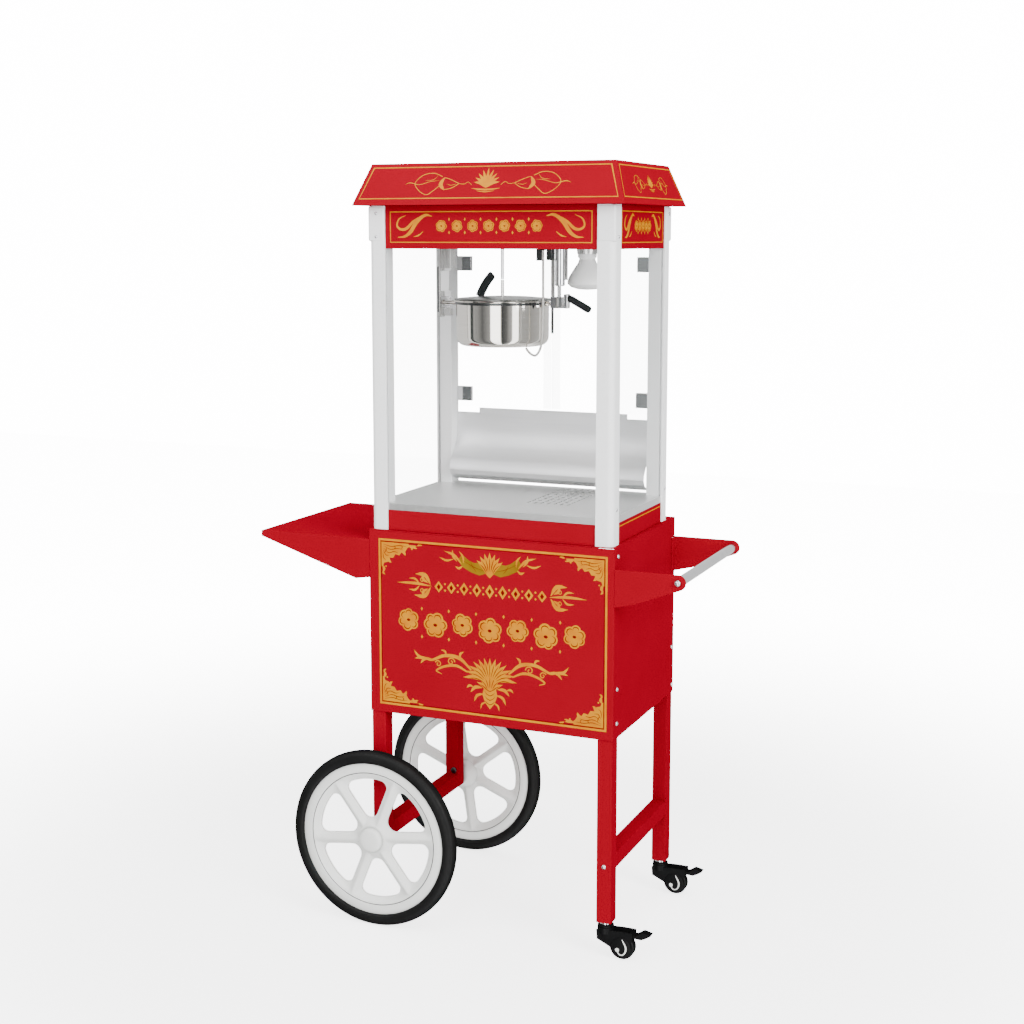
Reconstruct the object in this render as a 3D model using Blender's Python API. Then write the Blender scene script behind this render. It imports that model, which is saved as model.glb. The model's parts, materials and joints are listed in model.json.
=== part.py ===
"""Popcorn machine on a two-wheeled cart.

A red sheet-metal cabinet stands on four legs. Two large wheels turn on one
axle at the left, and two braked swivel castors carry the right. On the
cabinet stands a glazed popping machine: a base tray, corner posts, a kettle
hung from the ceiling, a motor and a roof. Metres, +Z up, front facing -Y.

All sizes below are measured from the cabinet's centre line, X to the right
and Y to the back. The empty "cart_origin" then shifts the whole cart so that
the world origin lies under the middle of its bounding box.
"""

import math

import bmesh
import bpy
from mathutils import Matrix, Vector

# Cabinet and sheet metal
CABINET_WIDTH = 0.520
CABINET_DEPTH = 0.375
CABINET_BOTTOM = 0.437
CABINET_TOP = 0.811
SHEET = 0.0015
GAP = 0.0003
PANEL_FLANGE = 0.015
SHELF_REACH = 0.252
SHELF_TOP = 0.790
HANDLE_REACH = 0.140
HANDLE_END_RADIUS = 0.015
HANDLE_HEIGHT = 0.7555
HANDLE_BAR_RADIUS = 0.0095
BRACKET_SHEET = 0.003

# Legs, axle and wheels
LEG_SIZE = 0.030
TUBE_WALL = 0.002
LEG_REACH_INTO_CABINET = 0.110
RIGHT_LEG_BOTTOM = 0.070
BRACE_BOTTOM = 0.175
AXLE_RADIUS = 0.006
AXLE_HALF_LENGTH = 0.2295
WHEEL_RADIUS = 0.182
WHEEL_PLANE = 0.220
WHEEL_SEGMENTS = 48
SPOKES = 6
SPOKE_HALF_WIDTH = 0.012
RUNNING_GAP = 0.0003

# Castors
CASTOR_TRAIL = 0.0353
CASTOR_RADIUS = 0.025
CASTOR_HALF_WIDTH = 0.009
PEDAL_PIVOT = (0.016, 0.0500)

# Popping machine
MACHINE_HALF_WIDTH = 0.255
MACHINE_FRONT = -0.184
MACHINE_BACK = 0.150
POST = 0.035
POST_CORNER = 0.012
PANEL_RECESS = 0.003
GLASS = 0.003
GLASS_INSET = 0.005
SLOT_DEPTH = 0.006
BASE_TOP = 0.8515
TABLE_TOP = 0.8650
FASCIA_BOTTOM = 1.367
EAVE = 1.450
ROOF_TOP = 1.530
EAVE_HALF = (0.280, 0.1895)
ROOF_TOP_HALF = (0.252, 0.156)
CEILING = 1.372

# Back doors
DOOR_BOTTOM = 1.0285
DOOR_TOP = 1.3655
DOOR_FACE = 0.1485
DOOR_HINGE = (0.2165, 0.1500)
CLIP_HEIGHT = 0.031
CLIP_BOTTOMS = {"lower": 1.040, "upper": 1.318}

# Kettle
KETTLE_X = -0.043
KETTLE_Y = -0.017
RIM_HEIGHT = 1.2650
PIVOT_HEIGHT = 1.2575
POT_RADIUS = 0.0933
POT_RIM_RADIUS = 0.101
POT_BOTTOM = 1.1735
SHAFT_RADIUS = 0.0035
COUPLING_HEIGHT = 0.0470
HANGER_LEFT_X = -0.178
HANGER_RIGHT_X = 0.081
HANDLE_HUB_X = 0.0915
PIN_RADIUS = 0.004

MACHINE_MIDDLE = (MACHINE_FRONT + MACHINE_BACK) / 2
HALF_X = CABINET_WIDTH / 2
HALF_Y = CABINET_DEPTH / 2
LEG_X = HALF_X - SHEET - GAP
LEG_Y = HALF_Y - SHEET - GAP
BEAM_X = LEG_SIZE / 2 - LEG_X
AXLE_X = BEAM_X + 0.005
CART_X = (SHELF_REACH - HANDLE_REACH) / 2


# ---------------------------------------------------------------- shapes


def box_mesh(low, high):
    mesh = bmesh.new()
    bmesh.ops.create_cube(mesh, size=1)
    low, high = Vector(low), Vector(high)
    size = high - low
    bmesh.ops.scale(mesh, vec=size, verts=mesh.verts)
    bmesh.ops.translate(mesh, vec=(low + high) / 2, verts=mesh.verts)
    return mesh


def ring_mesh(rings, closed=False):
    """Joins equal rings of points. It caps both ends unless the last ring meets the first."""
    mesh = bmesh.new()
    loops = [[mesh.verts.new(point) for point in ring] for ring in rings]
    pairs = list(zip(loops, loops[1:] + loops[:1]))
    for first, second in pairs if closed else pairs[:-1]:
        for i in range(len(first)):
            j = (i + 1) % len(first)
            mesh.faces.new((first[i], first[j], second[j], second[i]))
    if not closed:
        mesh.faces.new(loops[0])
        mesh.faces.new(loops[-1])
    bmesh.ops.recalc_face_normals(mesh, faces=mesh.faces)
    return mesh


def on_axis(axis, across, along):
    """A point from its place across an axis, (x, y), (x, z) or (y, z), and its place along it."""
    first, second = across
    if axis == "Z":
        return (first, second, along)
    if axis == "Y":
        return (first, along, second)
    return (along, first, second)


def prism_mesh(outline, axis, low, high):
    return ring_mesh([[on_axis(axis, point, along) for point in outline] for along in (low, high)])


def shell_mesh(outer, inner, axis, floor, rim, sheet):
    """An open tray: outer walls from floor to rim, and inner walls back to one sheet above the floor."""
    levels = [(outer, floor), (outer, rim), (inner, rim), (inner, floor + sheet)]
    return ring_mesh([[on_axis(axis, point, level) for point in ring] for ring, level in levels])


def tube_mesh(outer, inner, axis, low, high):
    levels = [(outer, low), (outer, high), (inner, high), (inner, low)]
    rings = [[on_axis(axis, point, level) for point in ring] for ring, level in levels]
    return ring_mesh(rings, closed=True)


def turned_mesh(profile, segments, axis="Z", centre=(0, 0, 0)):
    """Turns (radius, height) points about an axis. A profile from axis to axis is closed by its two poles."""
    mesh = bmesh.new()
    closed = profile[0][0] > 0
    rings = []
    for radius, height in profile:
        if radius == 0:
            rings.append([mesh.verts.new(on_axis(axis, (0, 0), height))])
            continue
        ring = []
        for i in range(segments):
            angle = math.tau * i / segments
            across = (radius * math.cos(angle), radius * math.sin(angle))
            ring.append(mesh.verts.new(on_axis(axis, across, height)))
        rings.append(ring)
    pairs = list(zip(rings, rings[1:] + rings[:1]))
    for first, second in pairs if closed else pairs[:-1]:
        for i in range(segments):
            j = (i + 1) % segments
            if len(first) == 1:
                mesh.faces.new((first[0], second[j], second[i]))
            elif len(second) == 1:
                mesh.faces.new((first[i], first[j], second[0]))
            else:
                mesh.faces.new((first[i], first[j], second[j], second[i]))
    bmesh.ops.recalc_face_normals(mesh, faces=mesh.faces)
    bmesh.ops.translate(mesh, vec=centre, verts=mesh.verts)
    return mesh


def rod_mesh(radius, axis, centre, low, high, segments=16):
    """A round rod from low to high along an axis. The centre's own place along that axis is 0."""
    profile = [(0, low), (radius, low), (radius, high), (0, high)]
    return turned_mesh(profile, segments, axis, centre)


def polar(centre, radius, angle):
    """The point at a radius and an angle in degrees from a centre."""
    turn = math.radians(angle)
    return (centre[0] + radius * math.cos(turn), centre[1] + radius * math.sin(turn))


def arc(centre, radius, start, end, steps):
    """Points on an arc, with angles in degrees."""
    return [polar(centre, radius, start + (end - start) * i / steps) for i in range(steps + 1)]


def rectangle(low, high):
    return [low, (high[0], low[1]), high, (low[0], high[1])]


def mirrored(outline):
    """The outline seen in a mirror at X = 0, in the same turning sense."""
    return [(-x, y) for x, y in reversed(outline)]


# ---------------------------------------------------------------- scene


def clear_scene():
    for obj in list(bpy.data.objects):
        bpy.data.objects.remove(obj)


def paint(name, colour, metallic, roughness, alpha=1.0):
    material = bpy.data.materials.get(name) or bpy.data.materials.new(name)
    material.use_nodes = True
    shader = material.node_tree.nodes["Principled BSDF"]
    shader.inputs["Base Color"].default_value = (*colour, 1)
    shader.inputs["Metallic"].default_value = metallic
    shader.inputs["Roughness"].default_value = roughness
    shader.inputs["Alpha"].default_value = alpha
    return material


def red():
    return paint("red_enamel", (0.50, 0.012, 0.016), 0.0, 0.28)


def steel():
    return paint("stainless_steel", (0.62, 0.61, 0.59), 1.0, 0.28)


def chrome():
    return paint("chrome", (0.75, 0.75, 0.76), 1.0, 0.10)


def white():
    return paint("white_post", (0.82, 0.84, 0.84), 0.0, 0.35)


def black():
    return paint("black_plastic", (0.020, 0.020, 0.021), 0.0, 0.42)


def rubber():
    return paint("black_rubber", (0.018, 0.018, 0.018), 0.0, 0.65)


def off_white():
    return paint("wheel_plastic", (0.68, 0.69, 0.67), 0.0, 0.40)


def glass():
    return paint("clear_glass", (0.95, 0.98, 0.98), 0.0, 0.03, 0.18)


def cart_origin():
    empty = bpy.data.objects.get("cart_origin")
    if empty is None:
        empty = bpy.data.objects.new("cart_origin", None)
        bpy.context.collection.objects.link(empty)
        empty.location = (CART_X, 0, 0)
    return empty


def piece(name, mesh, material, pivot=(0, 0, 0), smooth=None):
    """Makes a named object whose origin is at the pivot. smooth is the angle, in degrees, of its sharp edges."""
    bmesh.ops.translate(mesh, vec=-Vector(pivot), verts=mesh.verts)
    data = bpy.data.meshes.new(name)
    mesh.to_mesh(data)
    mesh.free()
    data.materials.append(material)
    if smooth:
        data.shade_smooth()
        data.set_sharp_from_angle(angle=math.radians(smooth))
    obj = bpy.data.objects.new(name, data)
    bpy.context.collection.objects.link(obj)
    obj.parent = cart_origin()
    obj.location = pivot
    return obj


def combine(obj, operation, *meshes):
    """Adds each mesh to the object, or cuts it away, with a Boolean whose helper stays hidden in renders."""
    for number, mesh in enumerate(meshes):
        label = f"{obj.name}_{operation.lower()}_{len(obj.modifiers) + 1}"
        helper = piece(label, mesh, obj.data.materials[0])
        helper.hide_render = True
        helper.display_type = "WIRE"
        modifier = obj.modifiers.new(label, "BOOLEAN")
        modifier.operation = operation
        modifier.object = helper
    return obj


# ---------------------------------------------------------------- cart


def make_legs():
    for side, x_sign in (("left", -1), ("right", 1)):
        bottom = RIGHT_LEG_BOTTOM if side == "right" else WHEEL_RADIUS - LEG_SIZE / 2
        for end, y_sign in (("front", -1), ("back", 1)):
            middle = (x_sign * (LEG_X - LEG_SIZE / 2), y_sign * (LEG_Y - LEG_SIZE / 2))
            outer = square_about(middle, LEG_SIZE / 2)
            inner = square_about(middle, LEG_SIZE / 2 - TUBE_WALL)
            top = CABINET_BOTTOM + LEG_REACH_INTO_CABINET
            mesh = shell_mesh(outer, inner, "Z", bottom, top, TUBE_WALL)
            leg = piece(f"leg_{end}_{side}", mesh, red())
            if side == "right":
                stem = rod_mesh(0.008, "Z", (*middle, 0), bottom - 0.0092, bottom + 0.001)
                combine(leg, "UNION", stem)
            else:
                radius = AXLE_RADIUS + RUNNING_GAP
                near, far = sorted((middle[1] - 0.02, middle[1] + 0.02))
                centre = (AXLE_X, 0, WHEEL_RADIUS)
                combine(leg, "DIFFERENCE", rod_mesh(radius, "Y", centre, near, far))


def square_about(middle, half):
    x, y = middle
    return rectangle((x - half, y - half), (x + half, y + half))


def make_cross_tubes():
    between = LEG_Y - LEG_SIZE - GAP
    beam = square_about((BEAM_X, WHEEL_RADIUS), LEG_SIZE / 2)
    hollow = square_about((BEAM_X, WHEEL_RADIUS), LEG_SIZE / 2 - TUBE_WALL)
    piece("axle_beam", tube_mesh(beam, hollow, "Y", -between, between), red())
    middle = (LEG_X - LEG_SIZE / 2, BRACE_BOTTOM + LEG_SIZE / 2)
    brace = square_about(middle, LEG_SIZE / 2)
    hollow = square_about(middle, LEG_SIZE / 2 - TUBE_WALL)
    piece("leg_brace", tube_mesh(brace, hollow, "Y", -between, between), red())
    axle = rod_mesh(AXLE_RADIUS, "Y", (AXLE_X, 0, WHEEL_RADIUS), -AXLE_HALF_LENGTH, AXLE_HALF_LENGTH)
    piece("wheel_axle", axle, steel(), smooth=40)


def make_cabinet():
    top = CABINET_TOP - SHEET - GAP
    front = ((-HALF_X, -HALF_Y, CABINET_BOTTOM), (HALF_X, SHEET - HALF_Y, top))
    piece("cabinet_front_panel", box_mesh(*front), red())
    near = SHEET + GAP - HALF_Y
    flange = HALF_X - PANEL_FLANGE
    side = [
        (HALF_X - SHEET, near),
        (HALF_X, near),
        (HALF_X, HALF_Y),
        (flange, HALF_Y),
        (flange, HALF_Y - SHEET),
        (HALF_X - SHEET, HALF_Y - SHEET),
    ]
    piece("cabinet_right_panel", prism_mesh(side, "Z", CABINET_BOTTOM, top), red())
    piece("cabinet_left_panel", prism_mesh(mirrored(side), "Z", CABINET_BOTTOM, top), red())
    notch = LEG_SIZE + GAP
    floor = notched_outline(LEG_X, -LEG_Y, LEG_Y, notch)
    floor_top = CABINET_BOTTOM + SHEET
    piece("cabinet_floor", prism_mesh(floor, "Z", CABINET_BOTTOM, floor_top), red())
    lid = ((-HALF_X, -HALF_Y, CABINET_TOP - SHEET), (HALF_X, HALF_Y, CABINET_TOP))
    piece("cabinet_top", box_mesh(*lid), red())


def notched_outline(half_x, front, back, notch):
    """A rectangle with a square notch at each corner."""
    x, inner = half_x, half_x - notch
    return [
        (-inner, front), (inner, front), (inner, front + notch), (x, front + notch),
        (x, back - notch), (inner, back - notch), (inner, back), (-inner, back),
        (-inner, back - notch), (-x, back - notch), (-x, front + notch), (-inner, front + notch),
    ]  # fmt: skip


def make_side_shelf():
    """One folded sheet: the shelf, a flange on the cabinet, and a sloping gusset at each end."""
    wall = -HALF_X - GAP
    tip = -HALF_X - SHELF_REACH
    gusset = [
        (wall, SHELF_TOP),
        (tip, SHELF_TOP),
        (tip, SHELF_TOP - 0.012),
        (wall - 0.032, SHELF_TOP - 0.083),
        (wall, SHELF_TOP - 0.078),
    ]
    mesh = prism_mesh(gusset, "Y", -HALF_Y, HALF_Y)
    shelf = piece("side_shelf", mesh, red())
    hollow = [
        (wall - SHEET, SHELF_TOP - SHEET),
        (tip + SHEET, SHELF_TOP - SHEET),
        (tip + SHEET, SHELF_TOP - 0.11),
        (wall - SHEET, SHELF_TOP - 0.11),
    ]
    cutter = prism_mesh(hollow, "Y", SHEET - HALF_Y, HALF_Y - SHEET)
    combine(shelf, "DIFFERENCE", cutter)


def make_handle():
    """Two bracket plates, each with a flange bolted to the cabinet, and a round bar between them."""
    wall = HALF_X + GAP
    centre = (HALF_X + HANDLE_REACH - HANDLE_END_RADIUS, HANDLE_HEIGHT)
    top = HANDLE_HEIGHT + HANDLE_END_RADIUS
    low = HANDLE_HEIGHT - 0.058
    outline = [(wall, low), (wall + 0.038, low + 0.009)]
    outline += arc(centre, HANDLE_END_RADIUS, -62, 90, 8)
    outline += [(wall, top)]
    inset = 0.024
    for name, outer in (("front", -HALF_Y), ("back", HALF_Y)):
        inner = outer - math.copysign(BRACKET_SHEET, outer)
        flange_end = outer - math.copysign(inset, outer)
        plate = prism_mesh(outline, "Y", *sorted((outer, inner)))
        bracket = piece(f"handle_bracket_{name}", plate, red())
        y_low, y_high = sorted((outer - math.copysign(0.001, outer), flange_end))
        flange = box_mesh((wall, y_low, low + 0.001), (wall + BRACKET_SHEET, y_high, top - 0.001))
        combine(bracket, "UNION", flange)
    reach = HALF_Y - BRACKET_SHEET - GAP
    bar = rod_mesh(HANDLE_BAR_RADIUS, "Y", (centre[0], 0, centre[1]), -reach, reach, 20)
    piece("handle_bar", bar, chrome(), smooth=40)


def wheel_profile():
    """(radius, distance outward) from the hub's domed cap round to the end of its blind bore."""
    bore = AXLE_RADIUS + RUNNING_GAP
    return [
        (0, 0.0230), (0.015, 0.0222), (0.0215, 0.0190), (0.0245, 0.0115), (0.032, 0.0115),
        (0.034, 0.005), (0.1215, 0.004), (0.1275, 0.011), (0.1582, 0.011), (0.1582, -0.011),
        (0.1275, -0.011), (0.1215, -0.004), (0.034, -0.005), (0.030, -0.0125), (0.018, -0.0315),
        (bore, -0.0315), (bore, 0.0100), (0, 0.0100),
    ]  # fmt: skip


def tyre_profile():
    half = [(0.1585, 0.0125), (0.164, 0.015), (0.174, 0.0145), (0.180, 0.010), (WHEEL_RADIUS, 0.004)]
    return half + [(radius, -out) for radius, out in reversed(half)]


def spoke_window(angle):
    """A rounded triangle between two spokes, centred on an angle in degrees."""
    rim, near = 0.1225, 0.047
    wide = 30 - math.degrees(math.asin(SPOKE_HALF_WIDTH / rim))
    narrow = 30 - math.degrees(math.asin(SPOKE_HALF_WIDTH / near))
    centre = (AXLE_X, WHEEL_RADIUS)
    points = [polar(centre, rim - 0.004, angle - wide)]
    points += arc(centre, rim, angle - wide + 4, angle + wide - 4, 4)
    points += [polar(centre, rim - 0.004, angle + wide)]
    points += arc(centre, near, angle + narrow, angle - narrow, 2)
    return points


def make_wheels():
    centre_z = WHEEL_RADIUS
    for name, sign, turn in (("front", -1, 38), ("back", 1, 8)):
        plane = sign * WHEEL_PLANE
        centre = (AXLE_X, 0, centre_z)
        pivot = (AXLE_X, plane, centre_z)
        disc = [(radius, plane + sign * out) for radius, out in wheel_profile()]
        mesh = turned_mesh(disc, WHEEL_SEGMENTS, "Y", centre)
        rim = piece(f"wheel_{name}", mesh, off_white(), pivot, smooth=30)
        for spoke in range(SPOKES):
            window = spoke_window(turn + spoke * 360 / SPOKES)
            combine(rim, "DIFFERENCE", prism_mesh(window, "Y", plane - 0.03, plane + 0.03))
        ring = [(radius, plane + sign * out) for radius, out in tyre_profile()]
        mesh = turned_mesh(ring, WHEEL_SEGMENTS, "Y", centre)
        piece(f"tyre_{name}", mesh, rubber(), pivot, smooth=50)


def make_castors():
    for name, sign in (("front", -1), ("back", 1)):
        swivel = (LEG_X - LEG_SIZE / 2, sign * (LEG_Y - LEG_SIZE / 2))
        make_castor(name, swivel)


def make_castor(name, swivel):
    """A swivel fork with its axle pin, the wheel in it, and the brake pedal over the wheel."""
    x, y = swivel[0] + CASTOR_TRAIL, swivel[1]
    pin = 0.0035
    crown = rod_mesh(0.0165, "Z", (*swivel, 0), 0.048, 0.0600, 20)
    fork = piece(f"castor_fork_{name}", crown, black(), (*swivel, 0), smooth=40)
    cheek = [(swivel[0] - 0.0155, 0.0545), (swivel[0] - 0.0140, 0.036)]
    cheek += arc((x, CASTOR_RADIUS), 0.012, 215, 350, 4)
    cheek += [(x + 0.023, 0.043), (x + 0.023, 0.0575), (x - 0.004, 0.0575)]
    cheeks = []
    for side in (-1, 1):
        low, high = sorted((y + side * 0.0103, y + side * 0.0133))
        cheeks.append(prism_mesh(cheek, "Y", low, high))
    axle = rod_mesh(pin, "Y", (x, 0, CASTOR_RADIUS), y - 0.0140, y + 0.0140, 12)
    combine(fork, "UNION", *cheeks, axle)
    half = CASTOR_HALF_WIDTH
    tread = [
        (pin + RUNNING_GAP, -half), (CASTOR_RADIUS - 0.002, -half), (CASTOR_RADIUS, 0.002 - half),
        (CASTOR_RADIUS, half - 0.002), (CASTOR_RADIUS - 0.002, half), (pin + RUNNING_GAP, half),
    ]  # fmt: skip
    tread = [(radius, y + along) for radius, along in tread]
    mesh = turned_mesh(tread, 32, "Y", (x, 0, CASTOR_RADIUS))
    piece(f"castor_wheel_{name}", mesh, rubber(), (x, y, CASTOR_RADIUS), smooth=40)
    px, pz = x + PEDAL_PIVOT[0], PEDAL_PIVOT[1]
    pedal = [(px + 0.004, pz - 0.003), (px + 0.024, pz - 0.004), (px + 0.034, pz + 0.001)]
    pedal += [(px + 0.043, pz + 0.007), (px + 0.026, pz + 0.011), (px + 0.012, pz + 0.002)]
    pedal += arc((px, pz), 0.004, 60, 300, 4)
    mesh = prism_mesh(pedal, "Y", y - 0.0095, y + 0.0095)
    piece(f"castor_brake_{name}", mesh, black(), (px, y, pz), smooth=40)


# ---------------------------------------------------------------- popping machine


def machine_outline(inset=0.0):
    """The plan of the machine's sheet-metal walls: a rectangle that steps in round each post."""
    half_x = MACHINE_HALF_WIDTH - PANEL_RECESS - inset
    front = MACHINE_FRONT + PANEL_RECESS + inset
    back = MACHINE_BACK - PANEL_RECESS - inset
    return notched_outline(half_x, front, back, POST - PANEL_RECESS + GAP)


def make_base():
    floor = CABINET_TOP + GAP
    mesh = shell_mesh(machine_outline(), machine_outline(SHEET), "Z", floor, BASE_TOP, SHEET)
    base = piece("machine_base", mesh, red())
    hole = ((0.0105, 0.140, floor + 0.0035), (0.1645, 0.155, BASE_TOP - 0.003))
    combine(base, "DIFFERENCE", box_mesh(*hole))


def make_table():
    """A stainless top with folded-down edges. Rows of slots let crumbs fall into the drawer."""
    skirt = BASE_TOP + GAP
    rings = [
        (machine_outline(), TABLE_TOP),
        (machine_outline(), skirt),
        (machine_outline(SHEET), skirt),
        (machine_outline(SHEET), TABLE_TOP - SHEET),
    ]
    mesh = ring_mesh([[(*point, level) for point in ring] for ring, level in rings])
    table = piece("table_plate", mesh, steel())
    slots = bmesh.new()
    columns, rows = 7, 8
    first, pitch = (0.0330, -0.0600), (0.0142, 0.0264)
    half = (0.0018, 0.0095)
    for row in range(rows):
        for column in range(columns):
            x = first[0] + column * pitch[0]
            y = first[1] + row * pitch[1]
            matrix = Matrix.Translation((x, y, TABLE_TOP)) @ Matrix.Diagonal((*half, 0.004, 1))
            bmesh.ops.create_cube(slots, size=2, matrix=matrix)
    combine(table, "DIFFERENCE", slots)


def make_crumb_drawer():
    floor = CABINET_TOP + GAP + 0.0040
    top = BASE_TOP - 0.0050
    back = MACHINE_BACK - PANEL_RECESS
    outer = rectangle((0.0120, -0.095), (0.1630, back + GAP + 0.0005))
    inner = rectangle((0.0132, -0.0938), (0.1618, back - 0.0020))
    drawer = piece("crumb_drawer", shell_mesh(outer, inner, "Z", floor, top, 0.0012), steel())
    face = box_mesh((0.0080, back + GAP, floor - 0.0022), (0.1670, back + 0.0020, top + 0.0030))
    lip = box_mesh((0.0675, back + 0.0015, top - 0.011), (0.1075, back + 0.0140, top - 0.008))
    combine(drawer, "UNION", face, lip)


def post_outline():
    """The back-right post: a rounded outer corner and a slot for each pane that meets it."""
    x, y = MACHINE_HALF_WIDTH, MACHINE_BACK
    pane = x - GLASS_INSET - GLASS
    outline = [(x - POST, y), (x - POST, y - POST)]
    outline += [(pane - 0.0005, y - POST), (pane - 0.0005, y - POST + SLOT_DEPTH)]
    outline += [(pane + GLASS + 0.0005, y - POST + SLOT_DEPTH), (pane + GLASS + 0.0005, y - POST)]
    outline += [(x, y - POST)]
    outline += arc((x - POST_CORNER, y - POST_CORNER), POST_CORNER, 0, 90, 5)
    return outline


def front_post_outline():
    """The front-right post, which also holds the front pane."""
    x, y = MACHINE_HALF_WIDTH, MACHINE_FRONT
    pane_x = x - GLASS_INSET - GLASS
    pane_y = y + GLASS_INSET
    outline = arc((x - POST_CORNER, y + POST_CORNER), POST_CORNER, -90, 0, 5)
    outline += [(x, y + POST), (pane_x + GLASS + 0.0005, y + POST)]
    outline += [(pane_x + GLASS + 0.0005, y + POST - SLOT_DEPTH), (pane_x - 0.0005, y + POST - SLOT_DEPTH)]
    outline += [(pane_x - 0.0005, y + POST), (x - POST, y + POST)]
    outline += [(x - POST, pane_y + GLASS + 0.0005), (x - POST + SLOT_DEPTH, pane_y + GLASS + 0.0005)]
    outline += [(x - POST + SLOT_DEPTH, pane_y - 0.0005), (x - POST, pane_y - 0.0005), (x - POST, y)]
    return outline


def make_posts():
    low, high = CABINET_TOP + GAP, EAVE - GAP
    for end, outline in (("front", front_post_outline()), ("back", post_outline())):
        piece(f"post_{end}_right", prism_mesh(outline, "Z", low, high), white(), smooth=30)
        piece(f"post_{end}_left", prism_mesh(mirrored(outline), "Z", low, high), white(), smooth=30)


def make_glass():
    low, high = TABLE_TOP + 0.0005, FASCIA_BOTTOM - 0.0005
    reach = MACHINE_HALF_WIDTH - POST + SLOT_DEPTH - 0.0010
    near = MACHINE_FRONT + GLASS_INSET
    piece("glass_front", box_mesh((-reach, near, low), (reach, near + GLASS, high)), glass())
    far = MACHINE_HALF_WIDTH - GLASS_INSET
    front = MACHINE_FRONT + POST - SLOT_DEPTH + 0.0010
    back = MACHINE_BACK - POST + SLOT_DEPTH - 0.0010
    piece("glass_right", box_mesh((far - GLASS, front, low), (far, back, high)), glass())
    piece("glass_left", box_mesh((-far, front, low), (GLASS - far, back, high)), glass())


def make_doors():
    """Two clear doors. Each has a closing strip at the middle and two chrome clips at its post."""
    face, inner = DOOR_FACE, DOOR_FACE - GLASS
    edge = MACHINE_HALF_WIDTH - POST - 0.0020
    door = [(0.0008, inner - 0.002), (0.0190, inner - 0.002), (0.0190, inner), (edge, inner)]
    door += [(edge, face), (0.0008, face)]
    outer = edge + 0.0010
    clip = [(0.1860, inner - 0.0026), (outer, inner - 0.0026), (outer, face + 0.0026), (0.1860, face + 0.0026)]
    clip += [(0.1860, face + GAP), (edge + GAP, face + GAP), (edge + GAP, inner - GAP), (0.1860, inner - GAP)]
    for side, shape in (("right", lambda outline: outline), ("left", mirrored)):
        hinge_x = DOOR_HINGE[0] if side == "right" else -DOOR_HINGE[0]
        pivot = (hinge_x, DOOR_HINGE[1], DOOR_BOTTOM)
        mesh = prism_mesh(shape(door), "Z", DOOR_BOTTOM, DOOR_TOP)
        piece(f"door_{side}", mesh, glass(), pivot)
        for level, bottom in CLIP_BOTTOMS.items():
            mesh = prism_mesh(shape(clip), "Z", bottom, bottom + CLIP_HEIGHT)
            piece(f"hinge_clip_{side}_{level}", mesh, chrome(), pivot)


def make_baffle():
    """A stainless sheet under the doors: upright at the top, then bulging into the machine."""
    sheet = 0.0012
    face = [
        (0.1442, 1.0160), (0.1442, 0.985), (0.1400, 0.962), (0.1290, 0.940), (0.1140, 0.922),
        (0.1030, 0.907), (0.1005, 0.896), (0.1060, 0.885), (0.1200, 0.876), (0.1430, 0.870),
    ]  # fmt: skip
    normals = []
    for i, point in enumerate(face):
        before, after = face[max(i - 1, 0)], face[min(i + 1, len(face) - 1)]
        along = Vector((after[0] - before[0], after[1] - before[1])).normalized()
        normals.append((point[0] - along.y * sheet, point[1] + along.x * sheet))
    reach = MACHINE_HALF_WIDTH - POST - 0.0005
    mesh = prism_mesh(face + normals[::-1], "X", -reach, reach)
    baffle = piece("rear_baffle", mesh, steel(), smooth=40)
    tab = box_mesh((-0.168, 0.1442, 1.0100), (0.168, 0.1442 + sheet, 1.0264))
    combine(baffle, "UNION", tab)


def make_fascia():
    """The band under the roof, with holes for the rocker switches and the mains gland."""
    low, high = FASCIA_BOTTOM, EAVE - GAP
    mesh = tube_mesh(machine_outline(), machine_outline(SHEET), "Z", low, high)
    band = piece("fascia_band", mesh, red())
    back = MACHINE_BACK - PANEL_RECESS
    for x in switch_places():
        hole = box_mesh((x - 0.0105, back - 0.006, 1.3930), (x + 0.0105, back + 0.006, 1.4250))
        combine(band, "DIFFERENCE", hole)
    gland = rod_mesh(0.008, "Y", (-0.170, 0, 1.409), back - 0.010, back + 0.012, 16)
    combine(band, "UNION", gland)


def switch_places():
    return [0.060 + 0.040 * i for i in range(3)]


def make_switches():
    """Rocker caps with two sloping faces, each turning about its middle."""
    back = MACHINE_BACK - PANEL_RECESS
    y, z = back + 0.0005, 1.409
    half = 0.013
    outline = [(y - 0.006, z - half), (y + 0.0015, z - half), (y + 0.0005, z), (y + 0.0055, z + half)]
    outline += [(y - 0.006, z + half)]
    for name, x in zip(("light", "motor", "heat"), switch_places()):
        mesh = prism_mesh(outline, "X", x - 0.0088, x + 0.0088)
        piece(f"switch_{name}", mesh, black(), (x, y, z))


def roof_ring(half, level):
    x, y = half
    corners = rectangle((-x, MACHINE_MIDDLE - y), (x, MACHINE_MIDDLE + y))
    return [(*corner, level) for corner in corners]


def make_roof():
    """A hollow truncated pyramid of sheet metal whose soffit rests on the posts."""
    inset = 0.0022
    soffit = (0.232, 0.146)
    rings = [
        roof_ring(ROOF_TOP_HALF, ROOF_TOP),
        roof_ring(EAVE_HALF, EAVE),
        roof_ring(soffit, EAVE),
        roof_ring(soffit, EAVE + SHEET),
        roof_ring((EAVE_HALF[0] - 2 * inset, EAVE_HALF[1] - 2 * inset), EAVE + SHEET),
        roof_ring((ROOF_TOP_HALF[0] - inset, ROOF_TOP_HALF[1] - inset), ROOF_TOP - SHEET),
    ]
    piece("roof", ring_mesh(rings), red())


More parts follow.
